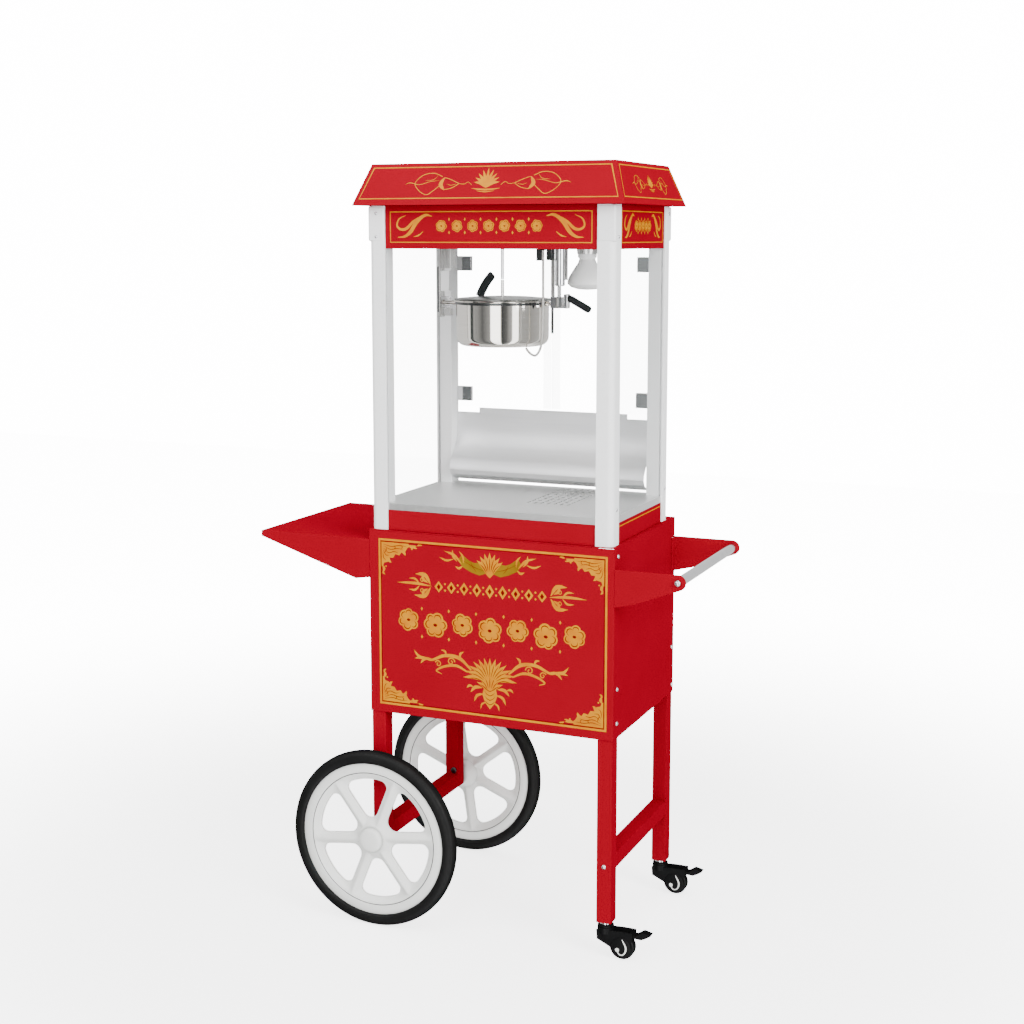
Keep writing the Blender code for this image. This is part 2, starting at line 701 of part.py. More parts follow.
def make_ceiling():
    """The plate over the popping space. The motor stands on it and the kettle hangs from it."""
    outline = machine_outline(SHEET + GAP)
    plate = piece("ceiling_plate", prism_mesh(outline, "Z", CEILING, CEILING + SHEET), steel())
    hole = rod_mesh(0.006, "Z", (KETTLE_X, KETTLE_Y, 0), CEILING - 0.01, CEILING + 0.01)
    combine(plate, "DIFFERENCE", hole)
    floor = CEILING + SHEET + GAP
    bore = SHAFT_RADIUS + 0.0005
    profile = [(bore, floor), (0.036, floor), (0.036, floor + 0.038), (0.030, floor + 0.044)]
    profile += [(0.022, floor + 0.044), (0.022, floor + 0.060), (0, floor + 0.060)]
    profile += [(0, floor + 0.020), (bore, floor + 0.020)]
    mesh = bored_mesh(profile, 28, (KETTLE_X, KETTLE_Y, 0))
    piece("motor_housing", mesh, steel(), smooth=40)


def bored_mesh(profile, segments, centre):
    """Turns a solid whose profile starts and ends at the rim of a blind bore and crosses the axis at its top."""
    split = next(i for i, point in enumerate(profile) if point[0] == 0)
    outer, inner = profile[: split + 1], profile[split + 1 :]
    return turned_mesh(inner + outer, segments, "Z", centre)


# ---------------------------------------------------------------- kettle


def make_kettle():
    pivot = (KETTLE_X, KETTLE_Y, PIVOT_HEIGHT)
    centre = (KETTLE_X, KETTLE_Y, 0)
    wall, corner = 0.0015, 0.018
    rim = RIM_HEIGHT
    turn = arc((POT_RADIUS - corner, POT_BOTTOM + corner), corner, 0, -90, 4)
    profile = [(0, POT_BOTTOM + wall)]
    profile += [(r, z + wall) for r, z in turn[:0:-1]]
    profile += [(POT_RADIUS - wall, POT_BOTTOM + corner), (POT_RADIUS - wall, rim)]
    profile += [(POT_RIM_RADIUS - 0.0015, rim), (POT_RIM_RADIUS, rim - 0.0015)]
    profile += [(POT_RIM_RADIUS - 0.0015, rim - 0.003), (POT_RADIUS, rim - 0.003)]
    profile += turn + [(0, POT_BOTTOM)]
    pot = piece("kettle_pot", turned_mesh(profile, 40, "Z", centre), steel(), pivot, smooth=35)
    pins = []
    left = (HANGER_LEFT_X - 0.0045, KETTLE_X - POT_RADIUS + 0.0008)
    right = (KETTLE_X + POT_RADIUS - 0.0008, HANDLE_HUB_X - GAP)
    for low, high in (left, right):
        pins.append(rod_mesh(PIN_RADIUS, "X", (0, KETTLE_Y, PIVOT_HEIGHT), low, high, 12))
    combine(pot, "UNION", *pins)
    make_lid(pivot)
    make_hangers()
    make_tilt_handle(pivot)


def half_lid(side):
    """Half of the domed lid. side is 1 for the half towards the back. It leaves room for the shaft."""
    rim = RIM_HEIGHT
    profile = [
        (0.0060, rim + 0.0058), (0.0300, rim + 0.0054), (0.0600, rim + 0.0040), (0.0880, rim + 0.0014),
        (0.0890, rim + 0.0005), (0.0965, rim + 0.0005), (0.0970, rim + 0.0012), (0.0960, rim + 0.0024),
        (0.0880, rim + 0.0034), (0.0600, rim + 0.0058), (0.0300, rim + 0.0072), (0.0060, rim + 0.0076),
    ]  # fmt: skip
    mesh = turned_mesh(profile, 40, "Z", (KETTLE_X, KETTLE_Y, 0))
    geometry = list(mesh.verts) + list(mesh.edges) + list(mesh.faces)
    place, outward = (0, KETTLE_Y + side * 0.0006, 0), (0, -side, 0)
    bmesh.ops.bisect_plane(mesh, geom=geometry, plane_co=place, plane_no=outward, clear_outer=True)
    cut = [edge for edge in mesh.edges if edge.is_boundary]
    bmesh.ops.holes_fill(mesh, edges=cut)
    bmesh.ops.recalc_face_normals(mesh, faces=mesh.faces)
    return mesh


def make_lid(pivot):
    """Two half lids: the front one is fixed, and the back one is a flap with a bent handle."""
    piece("kettle_lid_front", half_lid(-1), steel(), pivot, smooth=30)
    hinge = (KETTLE_X, KETTLE_Y + 0.0021, RIM_HEIGHT + 0.0085)
    flap = piece("kettle_lid_flap", half_lid(1), steel(), hinge, smooth=30)
    x, z = KETTLE_X - 0.0655, RIM_HEIGHT + 0.0040
    grip = [(x - 0.008, z - 0.001), (x + 0.008, z - 0.001), (x + 0.011, z + 0.008), (x + 0.030, z + 0.036)]
    grip += arc((x + 0.0235, z + 0.0405), 0.0080, -30, 150, 5)
    grip += [(x - 0.004, z + 0.010)]
    combine(flap, "UNION", prism_mesh(grip, "Y", KETTLE_Y + 0.037, KETTLE_Y + 0.043))


def make_hangers():
    """The kettle's two hangers. Its trunnion pins turn in their holes."""
    y, level = KETTLE_Y, PIVOT_HEIGHT
    hole = PIN_RADIUS + RUNNING_GAP
    top = CEILING - GAP
    x = HANGER_LEFT_X
    strap = [(x - 0.0015, level - 0.0295), (x + 0.0015, level - 0.0295), (x + 0.0015, top - 0.003)]
    strap += [(x + 0.022, top - 0.003), (x + 0.022, top), (x - 0.0015, top)]
    left = piece("hanger_left", prism_mesh(strap, "Y", y - 0.012, y + 0.012), steel())
    combine(left, "DIFFERENCE", rod_mesh(hole, "X", (0, y, level), x - 0.01, x + 0.01, 16))
    x = HANGER_RIGHT_X
    tube = [(0, level + 0.036), (0.0085, level + 0.036), (0.0100, level + 0.0385), (0.0100, top), (0, top)]
    right = piece("hanger_right", turned_mesh(tube, 20, "Z", (x, y, 0)), chrome(), smooth=40)
    blade = box_mesh((x - 0.0030, y - 0.007, level + 0.008), (x, y + 0.007, level + 0.040))
    bearing = box_mesh((x - 0.0165, y - 0.010, level - 0.0075), (x + 0.0085, y + 0.010, level + 0.0145))
    combine(right, "UNION", blade, bearing)
    combine(right, "DIFFERENCE", rod_mesh(hole, "X", (0, y, level), x - 0.03, x + 0.02, 16))


def make_tilt_handle(pivot):
    """The chrome hub on the end of the right trunnion pin and the black grip that tips the kettle."""
    low, high = PIVOT_HEIGHT - 0.0080, PIVOT_HEIGHT + 0.0205
    x = HANDLE_HUB_X
    hub = box_mesh((x, KETTLE_Y - 0.008, low), (x + 0.0085, KETTLE_Y + 0.008, high))
    handle = piece("tilt_handle", hub, chrome(), pivot, smooth=40)
    start = Vector((x + 0.005, KETTLE_Y - 0.0005, PIVOT_HEIGHT + 0.0150))
    end = start + Vector((0.0530, -0.0140, -0.0250))
    combine(handle, "UNION", slanted_rod(start, end, 0.0072, 12))


def slanted_rod(start, end, radius, segments):
    """A round rod between two points."""
    along = end - start
    mesh = rod_mesh(radius, "Z", (0, 0, 0), 0, along.length, segments)
    turn = Vector((0, 0, 1)).rotation_difference(along.normalized())
    bmesh.ops.rotate(mesh, verts=mesh.verts, matrix=turn.to_matrix())
    bmesh.ops.translate(mesh, verts=mesh.verts, vec=start)
    return mesh


def make_drive():
    """The motor's shaft ends over the lid. The stirrer's own shaft meets it there and turns in the pot."""
    centre = (KETTLE_X, KETTLE_Y, 0)
    joint = PIVOT_HEIGHT + COUPLING_HEIGHT
    top = CEILING + SHEET + GAP + 0.018
    shaft = rod_mesh(SHAFT_RADIUS, "Z", centre, joint + 0.0010, top, 12)
    piece("drive_shaft", shaft, chrome(), centre, smooth=40)
    low = POT_BOTTOM + 0.0050
    stirrer_shaft = rod_mesh(SHAFT_RADIUS, "Z", centre, low, joint, 12)
    stirrer = piece("stirrer", stirrer_shaft, steel(), centre, smooth=40)
    x, y = KETTLE_X, KETTLE_Y
    bar = box_mesh((x - 0.070, y - 0.002, low + 0.001), (x + 0.070, y + 0.002, low + 0.009))
    cross = box_mesh((x - 0.002, y - 0.045, low + 0.002), (x + 0.002, y + 0.045, low + 0.012))
    combine(stirrer, "UNION", bar, cross)


LEAD_ROUTE = [
    (0.0640, -0.0640, 1.3715),
    (0.0640, -0.0640, 1.3300),
    (0.0642, -0.0640, 1.2800),
    (0.0640, -0.0640, 1.2300),
    (0.0625, -0.0635, 1.1950),
    (0.0575, -0.0620, 1.1720),
    (0.0480, -0.0595, 1.1590),
    (0.0385, -0.0570, 1.1590),
    (0.0290, -0.0540, 1.1650),
    (0.0230, -0.0520, 1.1715),
]
LEAD_RADIUS = 0.0025


def smooth_route(points, spacing):
    """Points at even steps on a Catmull-Rom curve through the given points."""
    points = [Vector(point) for point in points]
    ends = [points[0] * 2 - points[1], *points, points[-1] * 2 - points[-2]]
    dense = []
    for a, b, c, d in zip(ends, ends[1:], ends[2:], ends[3:]):
        for step in range(16):
            t = step / 16
            dense.append((b * 2 + (c - a) * t + (a * 2 - b * 5 + c * 4 - d) * t**2
                          + (b * 3 - a - c * 3 + d) * t**3) / 2)  # fmt: skip
    dense.append(points[-1])
    route, travelled = [dense[0]], 0.0
    for before, after in zip(dense, dense[1:]):
        travelled += (after - before).length
        if travelled >= spacing:
            route.append(after)
            travelled = 0.0
    if (route[-1] - dense[-1]).length < spacing / 2:
        route.pop()
    return [*route, dense[-1]]


def make_kettle_lead():
    """The heat-proof lead that feeds the kettle's element, from the ceiling to the pot's underside."""
    route = smooth_route(LEAD_ROUTE, 0.010)
    curve = bpy.data.curves.new("kettle_lead", "CURVE")
    curve.dimensions = "3D"
    curve.bevel_depth = LEAD_RADIUS
    curve.bevel_resolution = 2
    curve.use_fill_caps = True
    spline = curve.splines.new("POLY")
    spline.points.add(len(route) - 1)
    for point, place in zip(spline.points, route):
        point.co = (*place, 1)
    curve.materials.append(steel())
    lead = bpy.data.objects.new("kettle_lead", curve)
    bpy.context.collection.objects.link(lead)
    lead.parent = cart_origin()


def make_lamp():
    """A reflector bulb that keeps the popcorn warm, with its lampholder under the ceiling."""
    profile = [
        (0, 1.2842), (0.018, 1.2855), (0.032, 1.2895), (0.0395, 1.2960), (0.0400, 1.3010),
        (0.0360, 1.3120), (0.0270, 1.3260), (0.0190, 1.3380), (0.0160, 1.3460), (0.0190, 1.3500),
        (0.0190, CEILING - GAP), (0, CEILING - GAP),
    ]  # fmt: skip
    piece("heat_lamp", turned_mesh(profile, 28, "Z", (0.113, 0.050, 0)), white(), smooth=40)


def main():
    clear_scene()
    make_legs()
    make_cross_tubes()
    make_cabinet()
    make_side_shelf()
    make_handle()
    make_wheels()
    make_castors()
    make_base()
    make_table()
    make_crumb_drawer()
    make_posts()
    make_glass()
    make_doors()
    make_baffle()
    make_fascia()
    make_switches()
    make_roof()
    make_ceiling()
    make_kettle()
    make_drive()
    make_kettle_lead()
    make_lamp()


main()
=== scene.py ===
"""Looks of the popcorn machine on its cart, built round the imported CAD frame.

Sheet metal is rebuilt from the CAD nodes with rounded edges. The wheels, castors, kettle, lamp and
decoration are built here. Lengths are in metres, in the CAD's frame: +Z up, the front facing -Y.
"""

import json
import math

import bmesh
import bpy
from mathutils import Matrix, Vector


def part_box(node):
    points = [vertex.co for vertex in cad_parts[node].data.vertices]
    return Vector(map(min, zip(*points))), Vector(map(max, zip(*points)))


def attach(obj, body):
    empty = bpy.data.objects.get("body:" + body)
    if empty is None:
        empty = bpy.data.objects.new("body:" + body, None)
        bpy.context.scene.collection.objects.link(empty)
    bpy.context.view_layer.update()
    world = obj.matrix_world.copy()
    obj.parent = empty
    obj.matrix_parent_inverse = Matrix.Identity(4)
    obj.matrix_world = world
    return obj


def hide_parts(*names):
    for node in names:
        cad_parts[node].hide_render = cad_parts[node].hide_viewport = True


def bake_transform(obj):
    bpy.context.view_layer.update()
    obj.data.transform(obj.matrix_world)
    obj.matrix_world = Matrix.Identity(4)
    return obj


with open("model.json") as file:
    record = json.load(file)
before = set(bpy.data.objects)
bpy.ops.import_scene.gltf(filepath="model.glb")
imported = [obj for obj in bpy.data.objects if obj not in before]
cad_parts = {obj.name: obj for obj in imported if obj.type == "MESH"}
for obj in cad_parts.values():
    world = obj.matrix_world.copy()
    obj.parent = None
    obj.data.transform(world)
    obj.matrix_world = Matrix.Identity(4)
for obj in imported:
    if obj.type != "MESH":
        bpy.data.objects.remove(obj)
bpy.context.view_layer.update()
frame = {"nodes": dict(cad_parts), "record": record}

NODES = frame["nodes"]
BODY_OF = {n: body for body, names in frame["record"]["behaviour"]["bodies"].items() for n in names}


def middle(node):
    low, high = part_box(node)
    return (low + high) / 2


# The cabinet's centre line. Most places below are measured from it, as they are in the CAD.
CART_X = middle("cabinet_front_panel").x
# The popping machine's middle, front to back.
MACHINE_Y = -0.017

# ---------------------------------------------------------------- camera, light and floor

CAMERA_PLACE = (1.2496, -2.9715, 1.3929)
CAMERA_DOWN, CAMERA_TURN = 7.64, 23.29
CAMERA_LENS, CAMERA_SENSOR, CAMERA_SHIFT = 56.3, 36.0, -0.0605
# Brightness of the surroundings by direction, in degrees about +Z.
WORLD_BANDS = [
    (-180, 0.8), (-161, 0.85), (-159, 0.01), (-145, 0.01), (-142, 0.42), (-117, 0.1), (-97, 0.34),
    (-95, 4.2), (-72, 4.2), (-70, 0.02), (-56, 0.12), (-43, 0.55), (-41, 4.2), (-23, 4.2),
    (-21, 0.4), (10, 0.34), (48, 0.5), (60, 0.7), (180, 0.8),
]
WORLD_STRENGTH = 1.5
FLOOR_GLOW, EDGE_GLOW, BACKDROP_GLOW = 3.2, 13.0, 14.0
STAGE_LEFT, FLOOR_RIGHT, BACKDROP_RIGHT = -9.5, 3.2, 1.9
FLOOR_FRONT, FLOOR_BACK, CURVE_RADIUS, BACKDROP_TOP = -3.0, 6.0, 3.0, 12.0


def make_camera():
    data = bpy.data.cameras.new("camera")
    data.lens, data.sensor_width, data.shift_y = CAMERA_LENS, CAMERA_SENSOR, CAMERA_SHIFT
    data.clip_start, data.clip_end = 0.05, 100
    camera = bpy.data.objects.new("camera", data)
    bpy.context.scene.collection.objects.link(camera)
    camera.location = Vector((CART_X, 0, 0)) + Vector(CAMERA_PLACE)
    camera.rotation_euler = (math.radians(90 - CAMERA_DOWN), 0, math.radians(CAMERA_TURN))
    bpy.context.scene.camera = camera


def area_light(name, place, target, size, power):
    data = bpy.data.lights.new(name, "AREA")
    data.shape = "RECTANGLE"
    data.size, data.size_y = size
    data.energy = power
    light = bpy.data.objects.new(name, data)
    bpy.context.scene.collection.objects.link(light)
    light.location = place
    light.rotation_euler = (Vector(target) - Vector(place)).to_track_quat("-Z", "Y").to_euler()


def set_range(node, *values):
    for socket, value in zip(("From Min", "From Max", "To Min", "To Max"), values):
        node.inputs[socket].default_value = value


def make_world():
    """Soft white surroundings with a few dark upright bands, which polished metal picks up."""
    world = bpy.data.worlds.new("studio")
    bpy.context.scene.world = world
    world.use_nodes = True
    tree = world.node_tree
    background = tree.nodes["Background"]
    split = tree.nodes.new("ShaderNodeSeparateXYZ")
    tree.links.new(tree.nodes.new("ShaderNodeTexCoord").outputs["Generated"], split.inputs[0])
    angle = tree.nodes.new("ShaderNodeMath")
    angle.operation = "ARCTAN2"
    tree.links.new(split.outputs["Y"], angle.inputs[0])
    tree.links.new(split.outputs["X"], angle.inputs[1])
    share = tree.nodes.new("ShaderNodeMapRange")
    set_range(share, -math.pi, math.pi, 0, 1)
    tree.links.new(angle.outputs[0], share.inputs["Value"])
    ramp = tree.nodes.new("ShaderNodeValToRGB")
    tree.links.new(share.outputs["Result"], ramp.inputs["Fac"])
    while len(ramp.color_ramp.elements) < len(WORLD_BANDS):
        ramp.color_ramp.elements.new(1)
    for element, (degrees, value) in zip(ramp.color_ramp.elements, WORLD_BANDS):
        element.position = (degrees + 180) / 360
        element.color = (value, value, value, 1)
    tree.links.new(ramp.outputs["Color"], background.inputs["Color"])
    background.inputs["Strength"].default_value = WORLD_STRENGTH


def glowing(name, near, far):
    """White that glows, more so away from the object, so that the ground fades into the backdrop."""
    material = bpy.data.materials.new(name)
    material.use_nodes = True
    shader = material.node_tree.nodes["Principled BSDF"]
    shader.inputs["Base Color"].default_value = (0.93, 0.93, 0.93, 1)
    shader.inputs["Roughness"].default_value = 0.8
    shader.inputs["Specular IOR Level"].default_value = 0.0
    shader.inputs["Emission Color"].default_value = (1, 1, 1, 1)
    tree = material.node_tree
    reach = tree.nodes.new("ShaderNodeVectorMath")
    reach.operation = "LENGTH"
    tree.links.new(tree.nodes.new("ShaderNodeTexCoord").outputs["Object"], reach.inputs[0])
    fade = tree.nodes.new("ShaderNodeMapRange")
    fade.interpolation_type = "SMOOTHSTEP"
    set_range(fade, 0.7, 3.0, near, far)
    tree.links.new(reach.outputs["Value"], fade.inputs["Value"])
    tree.links.new(fade.outputs["Result"], shader.inputs["Emission Strength"])
    return material


def stage_sheet(name, profile, ends, material):
    """A sheet with the given (y, z) profile, between two places along X. Its glow lights nothing else."""
    mesh = bmesh.new()
    rows = [[mesh.verts.new((x, y, z)) for x in ends] for y, z in profile]
    for a, b in zip(rows, rows[1:]):
        mesh.faces.new((a[0], a[1], b[1], b[0]))
    data = bpy.data.meshes.new(name)
    mesh.to_mesh(data)
    mesh.free()
    data.shade_smooth()
    data.materials.append(material)
    sheet = bpy.data.objects.new(name, data)
    bpy.context.scene.collection.objects.link(sheet)
    sheet.visible_diffuse = sheet.visible_glossy = False


def make_studio():
    make_world()
    area_light("key", (-2.2, -3.4, 3.6), (0, 0, 0.8), (2.4, 2.4), 125)
    area_light("fill", (3.4, -1.4, 2.2), (0, 0, 0.8), (1.6, 2.6), 120)
    area_light("top", (0.3, 0.6, 4.2), (0, 0, 0), (3.0, 3.0), 80)
    # A pale floor that curves up into a backdrop far behind.
    strips = 6
    floor = [(FLOOR_FRONT + (FLOOR_BACK - FLOOR_FRONT) * i / strips, 0.0) for i in range(strips + 1)]
    bends = [math.radians(90 * i / 12) for i in range(13)]
    curve = [(FLOOR_BACK + CURVE_RADIUS * math.sin(a), CURVE_RADIUS * (1 - math.cos(a))) for a in bends]
    curve.append((FLOOR_BACK + CURVE_RADIUS, BACKDROP_TOP))
    stage_sheet("floor", floor, (STAGE_LEFT, FLOOR_RIGHT), glowing("pale_floor", FLOOR_GLOW, EDGE_GLOW))
    stage_sheet("backdrop", curve, (STAGE_LEFT, BACKDROP_RIGHT),
                glowing("pale_backdrop", EDGE_GLOW, BACKDROP_GLOW))


make_camera()
make_studio()

# ---------------------------------------------------------------- materials


class Paint:
    """A node material. Its helpers each add one node and return the output socket."""

    def __init__(self, name, **values):
        self.material = bpy.data.materials.new(name)
        self.material.use_nodes = True
        self.tree = self.material.node_tree
        self.shader = self.tree.nodes["Principled BSDF"]
        self.place = self.add("ShaderNodeTexCoord").outputs["Object"]
        for socket, value in values.items():
            self.set(socket.replace("_", " "), value)

    def set(self, socket, value):
        target = self.shader.inputs[socket]
        if isinstance(value, bpy.types.NodeSocket):
            self.tree.links.new(value, target)
        elif isinstance(value, tuple) and len(value) == 3 and target.type == "RGBA":
            target.default_value = (*value, 1)
        else:
            target.default_value = value

    def add(self, kind, **links):
        node = self.tree.nodes.new(kind)
        for socket, value in links.items():
            target = node.inputs[socket.replace("_", " ")]
            if isinstance(value, bpy.types.NodeSocket):
                self.tree.links.new(value, target)
            else:
                target.default_value = value
        return node

    def scaled(self, scale):
        node = self.add("ShaderNodeMapping", Vector=self.place)
        node.inputs["Scale"].default_value = scale
        return node.outputs["Vector"]

    def noise(self, scale, detail=3.0, stretch=None):
        vector = self.scaled(stretch) if stretch else self.place
        return self.add("ShaderNodeTexNoise", Vector=vector, Scale=scale, Detail=detail).outputs["Fac"]

    def ramp(self, factor, *stops):
        """Colours or greys at places along the factor: (place, value) pairs."""
        node = self.add("ShaderNodeValToRGB", Fac=factor)
        ramp = node.color_ramp
        while len(ramp.elements) < len(stops):
            ramp.elements.new(1)
        for element, (place, value) in zip(ramp.elements, stops):
            element.position = place
            element.color = (*value, 1) if isinstance(value, tuple) else (value, value, value, 1)
        return node.outputs["Color"]

    def gloss(self, facing):
        """Specular level seen straight on, fading by the angle at which a wall would only mirror the room."""
        weight = self.add("ShaderNodeLayerWeight", Blend=0.5).outputs["Facing"]
        fade = self.add("ShaderNodeMapRange", Value=weight)
        set_range(fade, 0.2, 0.52, facing, 0)
        self.set("Specular IOR Level", fade.outputs["Result"])
        return self

    def bump(self, height, strength, distance):
        node = self.add("ShaderNodeBump", Height=height, Strength=strength, Distance=distance)
        self.set("Normal", node.outputs["Normal"])
        return self


def enamel(name, light, dark, roughness=(0.3, 0.44), gloss=0.16):
    """Powder coat: a slight drift of colour and a fine orange peel, with little mirror gloss."""
    paint = Paint(name).gloss(gloss)
    paint.set("Base Color", paint.ramp(paint.noise(9, 4), (0.3, dark), (0.7, light)))
    low, high = roughness
    paint.set("Roughness", paint.ramp(paint.noise(160, 2), (0.3, low), (0.7, high)))
    return paint.bump(paint.noise(900, 1), 0.05, 0.0002).material


def brushed(name, light, dark, stretch, roughness=(0.22, 0.36), scale=1.0):
    """Stainless steel brushed along one axis, the one that the stretch makes long."""
    paint = Paint(name, Metallic=1.0)
    grain = paint.noise(420 * scale, 4, stretch)
    paint.set("Base Color", paint.ramp(grain, (0.3, dark), (0.7, light)))
    low, high = roughness
    paint.set("Roughness", paint.ramp(grain, (0.25, low), (0.75, high)))
    return paint.bump(grain, 0.06, 0.0002).material


def polished(name, colour, roughness):
    paint = Paint(name, Metallic=1.0)
    smear = paint.noise(45, 5)
    worn = tuple(value * 0.93 for value in colour)
    paint.set("Base Color", paint.ramp(smear, (0.35, worn), (0.65, colour)))
    low, high = roughness
    paint.set("Roughness", paint.ramp(smear, (0.3, low), (0.7, high)))
    return paint.material


def moulded(name, light, dark, roughness, grain=700, depth=0.1, gloss=0.16, crevice_shade=1.0):
    """Moulded plastic, rubber or gloss paint, with a fine grain. A crevice value below 1 paints shade into its
    inner corners, by ambient occlusion.
    """
    paint = Paint(name).gloss(gloss)
    colour = paint.ramp(paint.noise(14, 5), (0.3, dark), (0.7, light))
    if crevice_shade < 1:
        # Painted shade: the colour darkens where ambient occlusion finds nearby surfaces, in corners and
        # recesses.
        open_share = paint.add("ShaderNodeAmbientOcclusion", Distance=0.018).outputs["AO"]
        shade = paint.ramp(open_share, (0.35, crevice_shade), (0.95, 1.0))
        mix = paint.add("ShaderNodeMixRGB", Fac=1.0, Color1=colour, Color2=shade)
        mix.blend_type = "MULTIPLY"
        colour = mix.outputs["Color"]
    paint.set("Base Color", colour)
    low, high = roughness
    paint.set("Roughness", paint.ramp(paint.noise(90, 3), (0.3, low), (0.7, high)))
    return paint.bump(paint.noise(grain, 2), depth, 0.0003).material


def clear(name, tint, alpha, edge):
    """Clear sheet that is nearly invisible face on and reflects at a grazing angle."""
    paint = Paint(name, Roughness=0.04, Base_Color=tint)
    weight = paint.add("ShaderNodeLayerWeight", Blend=0.3).outputs["Fresnel"]
    paint.set("Alpha", paint.ramp(weight, (0.0, alpha), (0.9, edge)))
    return paint.bump(paint.noise(3, 1), 0.01, 0.001).material


def gold_ink(name, yellow, orange):
    """Printed gold: it drifts from yellow to orange, with a fine speckle."""
    paint = Paint(name, Roughness=0.42).gloss(0.1)
    paint.set("Base Color", paint.ramp(paint.noise(38, 4), (0.32, orange), (0.62, yellow)))
    return paint.bump(paint.noise(1500, 1), 0.08, 0.0001).material


def braid(name, light, dark):
    """Fine metal braid: two crossing sets of diagonal strands."""
    paint = Paint(name, Metallic=0.85)
    wave = paint.add("ShaderNodeTexWave", Vector=paint.scaled((1, 1, 0.55)), Scale=330, Distortion=0.0)
    wave.wave_type, wave.bands_direction = "BANDS", "DIAGONAL"
    paint.set("Base Color", paint.ramp(wave.outputs["Fac"], (0.2, dark), (0.7, light)))
    paint.set("Roughness", paint.ramp(paint.noise(200, 2), (0.3, 0.3), (0.7, 0.44)))
    return paint.bump(wave.outputs["Fac"], 0.35, 0.0004).material


RED = enamel("red_enamel_finish", (0.245, 0.0006, 0.009), (0.228, 0.0005, 0.008), gloss=0.02)
WHITE = enamel("white_enamel", (0.88, 0.885, 0.885), (0.86, 0.865, 0.87), (0.24, 0.36), 0.3)
STEEL = brushed("brushed_steel", (0.7, 0.69, 0.67), (0.6, 0.59, 0.57), (0.02, 1, 1))
STEEL_Z = brushed("brushed_steel_upright", (0.62, 0.61, 0.6), (0.52, 0.51, 0.5), (1, 1, 0.02))
POT_STEEL = brushed("kettle_steel", (0.8, 0.765, 0.71), (0.74, 0.7, 0.645), (0.03, 0.03, 1), (0.035, 0.07), 1.4)
DARK_STEEL = polished("dark_steel", (0.055, 0.055, 0.055), (0.24, 0.36))
LID_STEEL = brushed("lid_steel", (0.3, 0.3, 0.29), (0.23, 0.23, 0.22), (0.02, 1, 1), (0.2, 0.32))
CHROME = polished("chrome_plate", (0.74, 0.74, 0.75), (0.05, 0.12))
HANDLE = polished("handle_chrome", (0.72, 0.72, 0.73), (0.12, 0.2))
BOLT = polished("zinc_plate", (0.62, 0.62, 0.64), (0.18, 0.3))
BAFFLE = brushed("baffle_steel", (0.76, 0.76, 0.77), (0.71, 0.71, 0.72), (0.02, 1, 1), (0.42, 0.54))
TABLE = brushed("table_steel", (0.84, 0.84, 0.83), (0.78, 0.78, 0.77), (1, 0.02, 1), (0.3, 0.42))
LAMP = moulded("lamp_glass_finish", (0.86, 0.86, 0.85), (0.8, 0.8, 0.8), (0.16, 0.28), 300, 0.03)
BLACK = moulded("black_plastic_grain", (0.005, 0.005, 0.0052), (0.0035, 0.0035, 0.0037), (0.34, 0.48),
                gloss=0.08)
RUBBER = moulded("tyre_rubber", (0.0075, 0.0075, 0.0075), (0.005, 0.005, 0.005), (0.4, 0.54), 420, 0.2,
                 gloss=0.1)
# The wheel's colour carries painted shade in its recesses, round the hub, the ribs and the groove.
WHEEL = moulded("wheel_enamel", (0.78, 0.785, 0.76), (0.74, 0.745, 0.72), (0.26, 0.38), 500, 0.05,
                gloss=0.35, crevice_shade=0.22)
BRAID = braid("lead_braid", (0.72, 0.7, 0.66), (0.34, 0.33, 0.31))
# A pale see-through strip that paints a band of reflected light on the glass.
REFLECTION_STRIP = clear("painted_reflection_strip", (0.92, 0.93, 0.93), 0.16, 0.3)
GLASS = clear("clear_pane", (0.22, 0.26, 0.26), 0.012, 0.22)
GOLD = gold_ink("gold_ink", (0.52, 0.205, 0.0), (0.46, 0.14, 0.0))
OLIVE = gold_ink("olive_gold_ink", (0.22, 0.115, 0.001), (0.17, 0.085, 0.001))
RED_INK = enamel("engraving_red", (0.135, 0.0005, 0.003), (0.115, 0.0005, 0.002), gloss=0.02)

FINISH = {
    "red_enamel": RED,
    "stainless_steel": STEEL,
    "chrome": CHROME,
    "white_post": WHITE,
    "black_plastic": BLACK,
    "black_rubber": RUBBER,
    "wheel_plastic": WHEEL,
    "clear_glass": GLASS,
    "lamp_glass": LAMP,
}
NODE_FINISH = {
    "rear_baffle": BAFFLE,
    "table_plate": TABLE,
    "hanger_left": STEEL_Z,
    "handle_bar": HANDLE,
}
SLOT_OF = {row["node"]: row["material_slot"] for row in frame["record"]["subparts"]}

# ---------------------------------------------------------------- mesh helpers

SHARP_EDGE = math.radians(28)


def build(name, mesh, material, body, smooth=None, slot=None, replaces=(), weighted=False):
    """Makes a piece from a bmesh and rides it on a body. smooth is the angle of its sharp edges, in degrees."""
    bmesh.ops.recalc_face_normals(mesh, faces=mesh.faces)
    data = bpy.data.meshes.new(name)
    mesh.to_mesh(data)
    mesh.free()
    data.materials.append(material)
    if smooth:
        data.shade_smooth()
        data.set_sharp_from_angle(angle=math.radians(smooth))
    obj = bpy.data.objects.new(name, data)
    bpy.context.scene.collection.objects.link(obj)
    if weighted:
        modifier = obj.modifiers.new("normals", "WEIGHTED_NORMAL")
        modifier.keep_sharp = True
    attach(obj, body)
    if replaces:
        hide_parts(*replaces)
        slot = slot or SLOT_OF[replaces[0]]
    return obj


